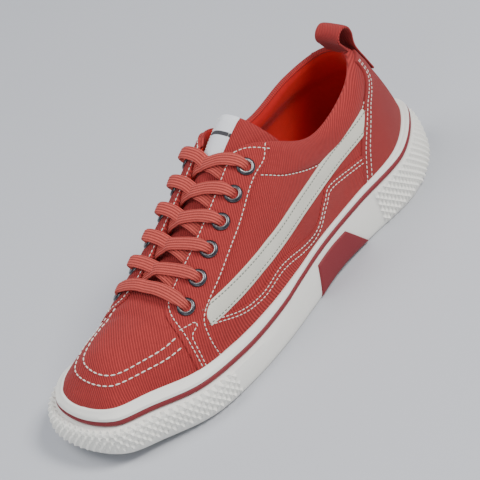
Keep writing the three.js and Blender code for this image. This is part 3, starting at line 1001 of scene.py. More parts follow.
def share_under(u, level_at):
    """How far up a rib its height over a level that depends on x turns positive, by halving."""
    low = np.zeros(np.shape(u))
    high = np.full(np.shape(u), 0.85)
    for _ in range(22):
        middle = (low + high) / 2
        here = last(u, middle)
        under = here[..., 2] < level_at(here[..., 0])
        low = np.where(under, middle, low)
        high = np.where(under, high, middle)
    return low


def rim_share(u):
    """How far up a rib the sole's rim reaches."""
    return share_under(u, lambda x: along("rim", u))


def opening_share(u):
    """How far up a rib the upper goes before its opening."""
    r = from_heel(u)
    return np.where(r > 5, RIBS["arch"][-1], along("opening", u))


def wall_depth(u, w):
    """Depth of the lining under the outer cloth: canvas, and the collar's padding."""
    fore = 1 - smoothstep(from_heel(u), *PAD_RIBS)
    return CANVAS + COLLAR_PAD * smoothstep(w, *PAD_SHARE) * fore


# ------------------------------------------------------------------ pieces: the upper


def build_quarters():
    """The two quarters, in one round the heel, under all the overlays."""
    ribs = np.concatenate([[-7.6, -7.57], np.linspace(-7.5, 7.5, 168), [7.57, 7.6]])
    u = np.mod(ribs, ROUND)[None, :]
    top = np.maximum(*(share_on(line, np.abs(ribs)) for line in (QUARTER_TOP, COLLAR_SEAM)))
    bottom = rim_share(u[0]) * 0.55
    f = np.concatenate([[0, 0.015], np.linspace(0.05, 0.95, 26), [0.985, 1]])[:, None]
    w = bottom + (top - bottom) * f
    u = np.broadcast_to(u, w.shape)
    edge = np.zeros(w.shape)
    edge[-1] = edge[:, 0] = edge[:, -1] = -0.3
    piece = shell("quarters", surface(u, w, edge), surface(u, w, -1.3), flat(u, w))
    return finish_piece(rounded(piece), finish_named("canvas"), ["upper"])


def build_vamp():
    """The vamp and toe in one piece: its columns run round the toe and share the ridge."""
    half = np.concatenate([[THROAT_END, THROAT_END + 0.03], np.linspace(THROAT_END + 0.1, TOE, 60)])
    ribs = np.concatenate([half, ROUND - half[-2::-1]])
    middle, count = len(half) - 1, len(ribs)
    shares = np.concatenate([[0, 0.02], np.linspace(0.06, 0.975, 30)])[:, None]
    bottom = rim_share(ribs)[None, :] * 0.55
    w = bottom + (1 - bottom) * shares
    u = np.broadcast_to(ribs, w.shape)
    ridge = half, np.ones(len(half))
    grids = []
    for height in (0.0, -1.5):
        side = np.concatenate([surface(u, w, height), flat(u, w)], axis=-1)
        top = np.concatenate([surface(*ridge, height), flat(*ridge)], axis=-1)
        for _ in range(30):
            ahead = side[-1, :middle + 1]
            behind = side[-1, middle:][::-1]
            top[:-1] += ((ahead + behind)[:-1] / 2 - top[:-1]) * 0.5
            across = np.concatenate([top, top[-2::-1]])
            side[-4:-1] += ((side[-5:-2] + side[-3:]) / 2 - side[-4:-1]) * 0.5
            side[-1] += ((side[-2] + across) / 2 - side[-1]) * 0.5
        grids.append(np.concatenate([side.reshape(-1, 5), top]))
    outer, inner = (grid[:, :3] for grid in grids)
    rows = len(shares)
    last_row = (rows - 1) * count
    crest = rows * count + np.minimum(np.arange(count), 2 * middle - np.arange(count))
    faces = grid_faces(rows, count)
    faces += [[last_row + i, last_row + i + 1, int(crest[i + 1]), int(crest[i])]
              for i in range(count - 1)]
    border = [*range(count), *range(2 * count - 1, last_row + count, count), int(crest[0])]
    border += list(range(last_row, 0, -count))
    piece = rounded(closed_sheet("vamp", outer, inner, faces, border, grids[0][:, 3:]))
    finish_piece(piece, finish_named("canvas"))


def build_eyestays():
    """The eyestays, each with a rounded top corner and its front edge down to the sole."""
    for name, side in SIDES:
        panel = Panel(EYESTAY_FRONT, EYESTAY_REAR, side, (150, 22), EYESTAY_HEIGHT)
        finish_piece(panel.shell(f"eyestay_{name}"), finish_named("canvas"))


def build_overlays():
    """The lower quarter overlays, with their wavy top edge, down into the sole."""
    edge = smooth_line(OVERLAY_EDGE, 60)
    for name, side in SIDES:
        low = [(k, float(rim_share(np.array(turned(k, side)))) * 0.55) for k in edge[:, 0]]
        panel = Panel(edge, low, side, (150, 16), OVERLAY_HEIGHT)
        finish_piece(panel.shell(f"overlay_{name}"), finish_named("canvas"))


def build_counter():
    """The heel counter, in one piece round the heel from the sole up to the collar."""
    edge = smooth_line(COUNTER_EDGE, 60)
    rows = edged([95.0], 44)[0] * (len(edge) - 1)
    stops = np.arange(len(edge))
    k = np.interp(rows, stops, edge[:, 0])[:, None]
    w = np.interp(rows, stops, edge[:, 1])[:, None]
    s = edged([80.0], 56)[0][None, :] * 2 - 1
    ribs = k * s
    u = np.mod(ribs, ROUND)
    w = np.broadcast_to(w, ribs.shape)
    height = np.full(ribs.shape, COUNTER_HEIGHT)
    height = height + 0.5 * smoothstep(w, 0.5, 0.6)
    height[:, 3] -= 0.15
    height[:, -4] -= 0.15
    height[0] -= 0.4
    height[-1] -= 0.4
    height[:, 0] -= 0.4
    height[:, -1] -= 0.4
    piece = shell("heel_counter", surface(u, w, height), surface(u, w, -0.4), flat(u, w))
    finish_piece(rounded(piece), finish_named("fine_canvas"))


def collar_section(ribs):
    """Closed sections of the padded collar: up the outside, over the rim and back inside."""
    k = np.abs(ribs)
    u = np.mod(ribs, ROUND)
    seam = share_on(COLLAR_SEAM, k)
    top = opening_share(u)
    rise = top - seam
    puff = PAD_PUFF * smoothstep(k, 1.1, 2.0) * (1 - smoothstep(k, 3.5, 4.3)) + 0.15
    deep = wall_depth(u, top)
    rows = [
        (seam - 0.004, -0.9 + 0 * k),
        (seam + 0.002, -0.1 + 0 * k),
        (seam + 0.10 * rise, 0.55 * puff),
        (seam + 0.26 * rise, 0.92 * puff),
        (seam + 0.45 * rise, 1.0 * puff),
        (seam + 0.64 * rise, 0.92 * puff),
        (seam + 0.80 * rise, 0.66 * puff),
        (seam + 0.93 * rise, 0.1 * puff - 0.05 * deep),
        (top + 0.008, -0.22 * deep),
        (top + 0.014, -0.5 * deep),
        (top + 0.008, -0.72 * deep),
        (top + 0.002, -0.84 * deep),
        (top - 0.006, -0.86 * deep),
        (top - 0.016, -0.8 * deep),
        (seam + 0.3 * rise, -1.5 + 0 * k),
        (seam - 0.004, -1.4 + 0 * k),
    ]
    w = np.stack([row[0] for row in rows], -1)
    height = np.stack([row[1] for row in rows], -1)
    u = np.broadcast_to(u[:, None], w.shape)
    return surface(u, w, height), flat(u, w)


def build_collar():
    """The padded collar, from its seam over the rim to the lining."""
    ribs = np.concatenate([[-4.9, -4.87], np.linspace(-4.8, 4.8, 118), [4.87, 4.9]])
    sections, uv = collar_section(ribs)
    piece = rounded(loft("collar", sections, uv))
    finish_piece(piece, finish_named("canvas"))


def build_lining():
    """The lining of the quarters and collar, down to the insole."""
    ribs = np.linspace(-7.58, 7.58, 130)
    u = np.mod(ribs, ROUND)
    k = np.abs(ribs)
    thin = smoothstep(k, 4.6, 5.0)
    top = opening_share(u) + 0.006 * (1 - thin) - 0.008 * thin
    f = np.concatenate([np.linspace(0, 0.95, 34), [0.975, 0.992, 1]])[:, None]
    w = 0.03 + (top - 0.03) * f
    u = np.broadcast_to(u, w.shape)
    turn = smoothstep(f, 0.94, 1.0) * (1 - thin)
    depth = wall_depth(u, w) * (1 - 0.22 * turn) + 0.35 * np.sin(math.pi * smoothstep(f, 0.75, 0.99))
    face = surface(u, w, -depth - 0.1)
    back = surface(u, w, -depth + 0.55)
    piece = shell("lining", face, back, flat(u, w))
    finish_piece(rounded(piece), finish_named("lining"))


def band_edges(side):
    """The band's two edges, straight as seen from the side, as (rib, share)."""
    k = np.linspace(*BAND_RIBS, 60)
    u = turned(k, side)
    (x0, z0), (x1, z1) = BAND_LINE
    middle = share_under(u, lambda x: z0 + (x - x0) * (z1 - z0) / (x1 - x0))
    slope = np.linalg.norm(last(u, middle + 0.01) - last(u, middle - 0.01), axis=-1) / 0.02
    half = 0.5 * BAND_WIDTH / slope
    return np.column_stack([k, middle + half]), np.column_stack([k, middle - half])


def build_bands():
    """A plain straight band of leather on each side, between counter and eyestay."""
    for name, side in SIDES:
        panel = Panel(*band_edges(side), side, (120, 14), BAND_HEIGHT)
        finish_piece(panel.shell(f"side_band_{name}"), finish_named("leather"))
        rows = [row_on_last(panel.row_along(1.9, other_edge=far), side, BAND_HEIGHT - 0.12)
                for far in (False, True)]
        sew(f"band_stitches_{name}", rows, "grey_thread", 2.3, 1.7, 0.62)


# ------------------------------------------------------------------ pieces: tongue and inside

TONGUE_ROWS = (
    # x, crown height, half width and drop on the outer side, then on the inner side, sweep
    (117, 102.5, 23, 19.0, 22.0, 19.0, 7),
    (130, 95.5, 22, 12.0, 18.5, 14.0, 3),
    (146, 85.5, 20, 6.5, 16.0, 11.0, 1),
    (165, 74.0, 19, 3.5, 15.5, 8.5, 0),
    (180, 65.5, 19, 2.5, 15.5, 7.5, 0),
    (195, 58.2, 19, 2.2, 15.5, 6.5, 0),
    (212, 50.5, 18, 2.2, 15.5, 5.5, 0),
)
TONGUE_THICK = 3.4
TONGUE_ROUND = 2.2


def tongue_point(s, t, lift):
    """A point over the tongue: s across, -1 to 1, and t from its upper end, 0, to the front, 1."""
    s, t, lift = np.broadcast_arrays(s, t, lift)
    table = np.array(TONGUE_ROWS, float)
    stops = np.linspace(0, 1, 200)
    line = smooth_line(np.column_stack([np.arange(len(table)) * 25.0, table]), 200)
    place = np.interp(np.asarray(t) * (len(table) - 1) * 25.0, line[:, 0], stops)
    x, crown, half, drop, inner_half, inner_drop, sweep = (
        np.interp(place, stops, line[:, i + 1]) for i in range(7))
    half = np.where(s < 0, inner_half, half)
    drop = np.where(s < 0, inner_drop, drop)
    fall = np.abs(s) ** TONGUE_ROUND
    return swung(np.stack([x - sweep * s * s, half * s, crown - drop * fall + lift], -1))


def tongue_shape(s, t):
    """How much the padding swells over the plain form: full in the middle, thin at the edges."""
    across = 1 - np.abs(s) ** 4
    lengthwise = smoothstep(t, 0.0, 0.05) * (1 - 0.6 * smoothstep(t, 0.25, 0.45))
    channel = np.exp(-(((np.abs(s) - 0.80) / 0.05) ** 2))
    return 0.9 * across * lengthwise - 0.35 * channel * smoothstep(t, 0.02, 0.06)


def build_tongue():
    """The padded tongue, its edges sewn flat."""
    s = np.concatenate([[-1, -0.975], np.linspace(-0.93, 0.93, 34), [0.975, 1]])[None, :]
    t = np.concatenate([[0, 0.006], np.linspace(0.02, 0.98, 60), [1]])[:, None]
    swell = tongue_shape(s, t)
    rim = (np.abs(s) > 0.99) | (t < 0.001)
    upper = np.where(rim, -0.9, swell)
    under = np.where(rim, -TONGUE_THICK + 0.9, -TONGUE_THICK - 0.2 * swell)
    top = tongue_point(s, t, upper)
    low = tongue_point(s, t, under)
    uv = np.stack(np.broadcast_arrays(117 + 105 * t, 24 * s), -1)
    piece = rounded(shell("padded_tongue", top, low, uv))
    finish_piece(piece, finish_named("tongue"), ["tongue"])


LABEL_END = 0.30
LABEL_MIDDLE = -0.15


def build_label():
    """A plain woven label over the tongue's upper end."""
    s = LABEL_MIDDLE + np.linspace(-0.44, 0.44, 17)[None, :]
    t = np.concatenate([[0.006], np.linspace(0.02, LABEL_END, 20)])[:, None]
    lift = tongue_shape(s, t) + 0.42
    top = tongue_point(s, t, lift)
    low = tongue_point(s, t, lift - 0.7)
    uv = np.stack(np.broadcast_arrays(24 * s, 105 * t), -1)
    piece = rounded(shell("tongue_label", top, low, uv))
    finish_piece(piece, finish_named("label"))
    line = np.linspace(0.03, LABEL_END - 0.012, 50)
    rows = []
    for edge in (-0.39, 0.39):
        there = np.full(line.shape, LABEL_MIDDLE + edge)
        rows.append((there, line))
    across = LABEL_MIDDLE + np.linspace(-0.39, 0.39, 30)
    rows.append((across, np.full(across.shape, LABEL_END - 0.012)))
    sew("label_stitches", [tongue_row(s, t, 0.45) for s, t in rows], "white_thread", 1.8, 1.4, 0.35)


def tongue_row(s, t, lift):
    """A row of stitches on the tongue."""
    points = tongue_point(s, t, tongue_shape(s, t) + lift)
    e = 0.01
    sideways = tongue_point(s + e, t, 0.0) - tongue_point(s - e, t, 0.0)
    forward = tongue_point(s, t + e, 0.0) - tongue_point(s, np.maximum(t - e, 0), 0.0)
    return points, unit(np.cross(forward, sideways))


def build_insole():
    """The insole, a little cupped at its edge."""
    u = np.linspace(0, ROUND, 177)[:-1]
    rings = []
    for lift, share, inset in ((0.0, 0.0, 0.8), (2.6, 0.04, 0.6), (4.2, 0.07, 0.9),
                               (4.4, 0.07, 2.4), (3.9, 0.06, 5.0), (3.6, 0.05, 10.0)):
        ring = last(u, share) - last_normal(u, share) * (CANVAS + 0.3 + inset)
        ring[:, 2] = SEAT + spring(ring[:, 0]) + lift
        rings.append(swung(ring))
    count = len(u)
    inner = rings[-1]
    shares = np.linspace(0, 1, 9)[1:-1]
    half = count // 2
    faces = grid_faces(len(rings), count, 0, loop=True)
    points = list(np.concatenate(rings))
    start = (len(rings) - 1) * count
    columns = []
    for i in range(1, half):
        a, b = inner[i], inner[count - i]
        line = [start + i]
        for share in shares:
            line.append(len(points))
            points.append(a + (b - a) * share)
        line.append(start + count - i)
        columns.append(line)
    for left, right in zip(columns, columns[1:]):
        for j in range(len(left) - 1):
            faces.append([left[j], right[j], right[j + 1], left[j + 1]])
    faces.append([start, *columns[0]][::-1])
    faces.append([start + half, *columns[-1]])
    faces.append(list(range(count))[::-1])
    points = np.array(points)
    piece = make_object("insole_cloth", points, faces, points[:, :2])
    finish_piece(piece, finish_named("lining"), ["insole"])


# ------------------------------------------------------------------ pieces: eyelets and lace

EYELETS = ((5.0, 0.715), (5.6, 0.71), (6.13, 0.715), (6.6, 0.715), (7.06, 0.695), (7.5, 0.655))
INNER_LOWER = 0.04
RING_PROFILE = (
    # radius and height over the eyestay
    (2.75, -3.6), (2.75, -0.2), (2.8, 0.45), (3.0, 0.85), (3.4, 1.08), (3.9, 1.1), (4.5, 0.92),
    (4.95, 0.55), (5.15, 0.1), (5.05, -0.25), (3.5, -0.3), (3.4, -3.6),
)
RING_SIDES = 40


def build_eyelets():
    """Twelve rolled rings, set through the eyestays."""
    profile = np.array(RING_PROFILE)
    turn = np.arange(RING_SIDES) * TAU / RING_SIDES
    sections = np.stack([profile[None, :, 0] * np.cos(turn)[:, None],
                         profile[None, :, 0] * np.sin(turn)[:, None],
                         np.broadcast_to(profile[:, 1], (RING_SIDES, len(profile)))], -1)
    radius = np.broadcast_to(profile[:, 0], sections.shape[:2])
    ring = loft("ring_shape", sections - SHIFT, np.stack([radius, 0 * radius], -1), loop=True)
    points, up, way = [], [], []
    for _, side in SIDES:
        for k, share in EYELETS:
            u = turned(k, side)
            w = share if side > 0 else share - INNER_LOWER
            points.append(surface(u, w, EYESTAY_HEIGHT))
            up.append(last_normal(u, np.array(w)))
            way.append(unit(surface(u, w + 0.01) - surface(u, w)))
    seed = seed_points(points, up, way, np.ones(len(points)))
    values = {"Shape": ring, "Finish": finish_named("steel")}
    piece = grown("eyelets", seed, tree_named(scatter_tree), values)
    bpy.data.objects.remove(ring)
    nodes = [f"eyelet_{name}_{i + 1}" for name, _ in SIDES for i in range(len(EYELETS))]
    finish_piece(piece, finish_named("steel"), nodes)


# A strip of lace from under the lower eyelet's side to the upper eyelet of the other side:
# share of the way across, height of its middle over the last, its width and its thickness.
STRIP_STOPS = (
    (-0.74, -3.9, 5.0, 1.6), (-0.60, -3.2, 6.4, 1.6), (-0.47, -1.9, 7.2, 1.6), (-0.34, -0.5, 7.5, 1.6),
    (-0.20, 0.8, 7.5, 1.6), (0.0, None, 7.5, 1.6), (0.3, 2.1, 7.6, 1.6), (0.55, 2.3, 7.6, 1.6),
    (0.72, 2.8, 7.4, 1.7), (0.83, 3.3, 6.6, 1.9), (0.92, 3.0, 5.4, 2.3), (0.975, 1.6, 4.7, 2.6),
    (1.0, -0.4, 4.4, 2.6), (1.0, -2.8, 4.4, 2.4),
)
INNER_LIFT = 2.8               # the strips stand this much further off the inner eyestay
LOWER_CROSSING = 1.9
UPPER_CROSSING = 3.4
BAR_STOPS = (
    (-1.0, -2.8, 4.4, 2.4), (-1.0, -0.4, 4.4, 2.6), (-0.975, 1.6, 4.7, 2.6), (-0.92, 3.0, 5.4, 2.3),
    (-0.83, 3.5, 6.6, 1.9), (-0.7, 3.3, 7.4, 1.7), (-0.5, 3.2, 7.6, 1.6), (-0.25, 3.3, 7.6, 1.6),
    (0.0, 3.4, 7.6, 1.6), (0.25, 3.3, 7.6, 1.6), (0.5, 3.2, 7.6, 1.6), (0.7, 3.3, 7.4, 1.7),
    (0.83, 3.5, 6.6, 1.9), (0.92, 3.0, 5.4, 2.3), (0.975, 1.6, 4.7, 2.6), (1.0, -0.4, 4.4, 2.6),
    (1.0, -2.8, 4.4, 2.4),
)
BAR_FORWARD = 0.12


def lace_place(start, end, side, across, height):
    """A point between the eyelets start, on one side, and end, on the other, and its normal."""
    f = (across + 1) / 2
    k = start[0] + (end[0] - start[0]) * f
    outer = across * side >= 0
    share = start[1] + (end[1] - start[1]) * f - (0 if outer else INNER_LOWER)
    w = np.array(1 - (1 - share) * abs(across))
    u = turned(k, 1 if outer else -1)
    normal = last_normal(u, w)
    return swung(last(u, w) + normal * height), normal


def lace_section(width, thick):
    """Points round a flat braid's section: rounded edges and low ribs along it."""
    s = np.linspace(-1, 1, 27)
    half = 0.5 * thick * np.clip(1 - np.abs(s) ** 5, 0, 1) ** 0.5
    ribs = 0.24 * np.abs(np.sin(s * TAU * width / 2 / LACE_CORD)) - 0.12
    top = np.stack([0.5 * width * s, half + ribs * (np.abs(s) < 0.95)], -1)
    low = np.stack([0.5 * width * s, -half], -1)[::-1][1:-1]
    return np.concatenate([top, low])


def lace_strip(name, places, widths, thicks):
    """A flat cord swept along its places, each a point and the way that it faces."""
    points = np.array([p for p, _ in places])
    ups = np.array([n for _, n in places])
    table = np.column_stack([points, ups, widths, thicks])
    length = np.linalg.norm(np.diff(points, axis=0), axis=1).sum()
    count = int(length / 1.1)
    n = len(points)
    ends = np.concatenate([[2 * table[0] - table[1]], table, [2 * table[-1] - table[-2]]])
    t = np.linspace(0, n - 1 - 1e-9, count * 4)
    i = t.astype(int)
    f = (t - i)[:, None]
    a, b, c, d = (ends[i + j] for j in range(4))
    fine = 0.5 * (2 * b + (c - a) * f + (2 * a - 5 * b + 4 * c - d) * f**2
                  + (3 * b - a - 3 * c + d) * f**3)
    run = np.concatenate([[0], np.cumsum(np.linalg.norm(np.diff(fine[:, :3], axis=0), axis=1))])
    stops = np.linspace(0, run[-1], count)
    fine = np.stack([np.interp(stops, run, fine[:, j]) for j in range(8)], -1)
    centre = fine[:, :3]
    way = unit(np.gradient(centre, axis=0))
    across = unit(np.cross(fine[:, 3:6], way))
    out = np.cross(way, across)
    sections, uv = [], []
    for j in range(count):
        section = lace_section(fine[j, 6], fine[j, 7])
        sections.append(centre[j] + section[:, :1] * across[j] + section[:, 1:] * out[j])
        uv.append(np.stack([np.full(len(section), stops[j]), section[:, 0]], -1))
    return np.array(sections), np.array(uv), run[-1]


def build_laces():
    """The lace: a bar across the lowest eyelets, and five crossings up to the top ones."""
    total = 0.0
    for i in range(len(EYELETS) - 1):
        upper, lower = EYELETS[i], EYELETS[i + 1]
        for (name, side), crossing in zip(SIDES, (UPPER_CROSSING, LOWER_CROSSING)):
            stops = [(a, crossing if h is None else h) for a, h, _, _ in STRIP_STOPS]
            if name == "medial":
                stops = [(a, h + INNER_LIFT * math.sin(math.pi * max(a, 0) ** 2)) for a, h in stops]
            places = [lace_place(lower, upper, side, a, h) for a, h in stops]
            sections, uv, length = lace_strip("", places, *zip(*[s[2:] for s in STRIP_STOPS]))
            total += length
            piece = loft(f"lace_{name}_{i + 1}", sections, uv)
            node = [f"lace_cross_{i + 1}"] if side > 0 else []
            finish_piece(piece, finish_named("lace"), node)
    lowest = EYELETS[-1]
    places = []
    for across, height, _, _ in BAR_STOPS:
        spot = (lowest[0] + BAR_FORWARD * (1 - abs(across)), lowest[1])
        places.append(lace_place(spot, spot, 1, across, height))
    sections, uv, length = lace_strip("", places, *zip(*[s[2:] for s in BAR_STOPS]))
    piece = loft("lace_bar_low", sections, uv)
    finish_piece(piece, finish_named("lace"), ["lace_bar"])
    print(f"lace: {total + length:.0f} mm in its strips")


# ------------------------------------------------------------------ pieces: pull loop

LOOP_WIDTH = 18
LOOP_THICK = 1.6
LOOP_ROUTE = (
    # x, y, z, and how far the edges wrap towards the toe
    (15.0, 0.0, 63.2, 1.8), (18.8, 0.2, 73.0, 1.8), (22.9, 0.6, 82.8, 1.6), (24.3, 1.2, 88.5, 1.2),
    (24.6, 2.0, 94.0, 0.8), (26.6, 2.6, 99.0, 0.5), (30.5, 2.8, 101.2, 0.3), (34.4, 2.6, 99.4, 0.5),
    (35.8, 2.2, 95.0, 0.8), (33.0, 1.6, 90.0, 0.8), (30.6, 1.0, 86.0, 0.8), (29.2, 0.8, 82.5, 0.8),
)


def loop_frame(count=90):
    """The webbing's middle line, its way out and its bow, evenly spaced."""
    route = smooth_line(LOOP_ROUTE, count)
    way = unit(np.gradient(route[:, :3], axis=0))
    out = unit(np.stack([-way[:, 2], 0 * way[:, 1], way[:, 0]], -1))
    return route[:, :3], way, out, route[:, 3]


def build_pull_loop():
    """The pull loop: doubled webbing folded over the heel."""
    centre, _, out, bow = loop_frame()
    s = np.concatenate([[-1, -0.94], np.linspace(-0.85, 0.85, 13), [0.94, 1]])
    thin = 0.5 * LOOP_THICK * (1 - 0.25 * (np.abs(s) > 0.9))
    ring = np.concatenate([s, s[::-1]])
    lift = np.concatenate([thin, -thin[::-1]])
    side = np.stack([0 * ring, ring * LOOP_WIDTH / 2, 0 * ring], -1)
    wrap = np.stack([ring**2, 0 * ring, 0 * ring], -1)
    sections = (centre[:, None] + side[None] + wrap[None] * bow[:, None, None]
                + out[:, None] * lift[None, :, None])
    run = np.concatenate([[0], np.cumsum(np.linalg.norm(np.diff(centre, axis=0), axis=1))])
    uv = np.stack(np.broadcast_arrays(run[:, None], ring[None, :] * LOOP_WIDTH / 2), -1)
    piece = rounded(loft("pull_loop_webbing", sections, uv))
    finish_piece(piece, finish_named("webbing"), ["pull_loop"])


# ------------------------------------------------------------------ pieces: the sole

RIM = 2.6
GROOVE_DEPTH = 1.6
GROOVE_WIDTH = 3.2
GROOVE_PITCH = 11
GROOVES = ((160, 10), (18, 5))
STRIPE_DROP = (4.1, 6.0)       # under the rim, along the heel and waist and from the ball on
STRIPE_WIDTH = 2.9
BUMPER_ENDS = (76, 217)
BUMPER_STEP = 1.6
BUMPER_PROUD = 1.0
STUD_PITCH = 4.7
STUD_LEVELS = 12
STUD_START = 2.6               # over the tread
STUD_TOP = 1.9                 # down the wall from the red line's ledge
STUD_HEIGHT = 1.35


def bumper(x):
    """1 on the heel and toe bumpers and 0 along the waist."""
    heel, toe = BUMPER_ENDS
    return np.maximum(1 - smoothstep(x, heel - BUMPER_STEP, heel), smoothstep(x, toe, toe + BUMPER_STEP))


def stripe_level(u):
    """Height of the red line's middle."""
    drop = STRIPE_DROP[0] + (STRIPE_DROP[1] - STRIPE_DROP[0]) * smoothstep(from_heel(u), 4.5, 7)
    return along("rim", u) - drop


def stripe_inset(u):
    return np.maximum(0.6, 0.85 * (along("inset", u) - 4))


def seat_inset(u):
    """How far inside the sole's outline the cloth meets the rim."""
    across = wall(u, 0, 0) - last(u, rim_share(u))
    return np.sum(across[..., :2] * plan_normal(u)[..., :2], axis=-1) - crease(u, rim_share(u))


def wall_rows(u):
    """Inset and height of the sole's outer wall, from the tread up to its rim, row by row."""
    inset = seat_inset(u)
    rim = along("rim", u)
    floor = ground(along("x", u))
    tall = rim - floor
    stripe = stripe_inset(u)
    line = stripe_level(u)
    over = line + STRIPE_WIDTH / 2 + 0.3
    foot = line - STRIPE_WIDTH / 2 - 0.5
    proud = BUMPER_PROUD * bumper(along("x", u))
    return (
        (4.7 + 0 * u, floor),
        (4.4 + 0 * u, floor),
        (1.9 + 0 * u, floor),
        (1.0 + 0 * u, floor + 0.5),
        (0.35 + 0 * u, floor + 1.8),
        (0.12 + 0 * u, floor + 3.2),
        (0.05 - 0.3 * proud, floor + 0.20 * tall),
        (0.0 - 0.3 * proud, floor + 0.35 * tall),
        (0.12 * stripe - 0.5 * proud, floor + 0.48 * tall),
        (0.35 * stripe - 0.7 * proud, floor + 0.6 * tall),
        (0.95 * stripe - 0.9 * proud, foot - 0.6),
        (0.98 * stripe - 0.6 * proud, foot - 0.1),
        (stripe + 0.55, foot + 0.15),
        (stripe + 0.55, line),
        (stripe + 0.45, over - 0.1),
        (stripe - 0.05, over + 0.1),
        (stripe + 0.1 * (inset - RIM - stripe), over + 0.35 * (rim - over)),
        (stripe + 0.55 * (inset - RIM - stripe), over + 0.6 * (rim - over)),
        (inset - RIM, rim - 0.9),
        (inset - RIM + 0.5, rim - 0.25),
        (inset - RIM + 1.2, rim + 0.05),
        (inset - 0.4, rim - 0.1),
        (inset + 0.3, rim - 0.7),
    )


def sole_columns():
    """Places round the sole, with extra ones at the edges of the grooves."""
    u = list(np.arange(0, TOE + 0.001, 1 / 14))
    fine = np.linspace(0, TOE, 6001)
    x = along("x", fine)
    for first, count in GROOVES:
        for i in range(count):
            centre = first + i * GROOVE_PITCH
            for offset in (-GROOVE_WIDTH / 2 - 0.4, -GROOVE_WIDTH / 2, GROOVE_WIDTH / 2,
                           GROOVE_WIDTH / 2 + 0.4):
                u.append(float(np.interp(centre + offset, x, fine)))
    for end in BUMPER_ENDS:
        for offset in np.linspace(-BUMPER_STEP, BUMPER_STEP, 5):
            u.append(float(np.interp(end + offset, x, fine)))
    u = np.array(sorted(u))
    keep = np.concatenate([[True], np.diff(u) > 0.004])
    half = u[keep]
    half[-1] = TOE
    return np.concatenate([half, ROUND - half[-2:0:-1]])


def groove_depth(x):
    """How deep the tread is cut at x."""
    depth = np.zeros(np.shape(x))
    for first, count in GROOVES:
        for i in range(count):
            centre = first + i * GROOVE_PITCH
            near = 1 - smoothstep(np.abs(x - centre), GROOVE_WIDTH / 2 - 0.05, GROOVE_WIDTH / 2 + 0.35)
            depth = np.maximum(depth, GROOVE_DEPTH * near)
    return depth


def build_sole():
    """The cup sole: wall, rim and grooved tread in one piece."""
    u = sole_columns()
    rows = [wall(u, inset, height) for inset, height in wall_rows(u)]
    seat_shares = rim_share(u)
    for share, drop in ((0.6, 0.0), (0.0, 0.3)):
        ring = last(u, seat_shares * share) + plan_normal(u) * 0.3
        ring[:, 2] -= drop
        rows.append(ring)
    rows = swung(np.array(rows))
    x = along("x", u)
    rows[0, :, 2] += groove_depth(x)
    levels, count = rows.shape[:2]
    faces = grid_faces(levels, count, 0, loop=True)
    points = list(rows.reshape(-1, 3))
    half = count // 2
    for ring, flip in ((0, True), (levels - 1, False)):
        start = ring * count
        columns = []
        for i in range(1, half):
            a, b = rows[ring, i], rows[ring, (count - i) % count]
            line = [start + i]
            for share in np.linspace(0, 1, 7)[1:-1]:
                line.append(len(points))
                points.append(a + (b - a) * share)
            line.append(start + (count - i) % count)
            columns.append(line)
        for left, right in zip(columns, columns[1:]):
            for j in range(len(left) - 1):
                quad = [left[j], right[j], right[j + 1], left[j + 1]]
                faces.append(quad[::-1] if flip else quad)
        heel = [start, *columns[0]]
        toe = [start + half, *columns[-1][::-1]]
        faces.append(heel if flip else heel[::-1])
        faces.append(toe if flip else toe[::-1])
    points = np.array(points)
    piece = make_object("cup_sole", points, faces)
    bevel = piece.modifiers.new("soft edges", "EDGE_SPLIT")
    bevel.split_angle = math.radians(38)
    finish_piece(piece, finish_named("rubber"), ["sole"])


def ring_band(name, u, rows, finish):
    """A closed band round the sole; rows are (inset, height) pairs round its section."""
    sections = np.stack([swung(wall(u, inset, height)) for inset, height in rows], 1)
    piece = loft(name, sections, np.zeros(sections.shape[:2] + (2,)), loop=True)
    return finish_piece(piece, finish_named(finish))


def build_pinstripe():
    """The red line that runs round the sole under its rim."""
    u = sole_columns()
    stripe = stripe_inset(u)
    level = stripe_level(u)
    half = STRIPE_WIDTH / 2
    rows = ((stripe + 0.9, level - half), (stripe + 0.1, level - half), (stripe - 0.4, level - half * 0.6),
            (stripe - 0.55, level), (stripe - 0.4, level + half * 0.6), (stripe + 0.1, level + half),
            (stripe + 0.9, level + half))
    ring_band("pinstripe", u, rows, "red_rubber")


def wall_inset(u, z):
    """Inset of the sole's outer wall at a height below its red line."""
    u, z = np.broadcast_arrays(u, z)
    rows = wall_rows(u)[3:11]
    insets, heights = (np.array([row[i] for row in rows]) for i in (0, 1))
    inset = np.zeros(z.shape)
    for index in np.ndindex(z.shape):
        column = (slice(None), *index)
        inset[index] = np.interp(z[index], heights[column], insets[column])
    return inset


def down_the_wall(u, run):
    """Inset, height and length of the sole's outer wall, a way down it from the red line's ledge."""
    rows = np.array(wall_rows(u)[3:11])[::-1]
    steps = np.linalg.norm(np.diff(rows, axis=0), axis=1)
    runs = np.concatenate([np.zeros((1, len(u))), np.cumsum(steps, axis=0)])
    places = [[np.interp(run, runs[:, i], rows[:, k, i]) for i in range(len(u))] for k in (0, 1)]
    return np.array(places[0]), np.array(places[1]), runs[-1]


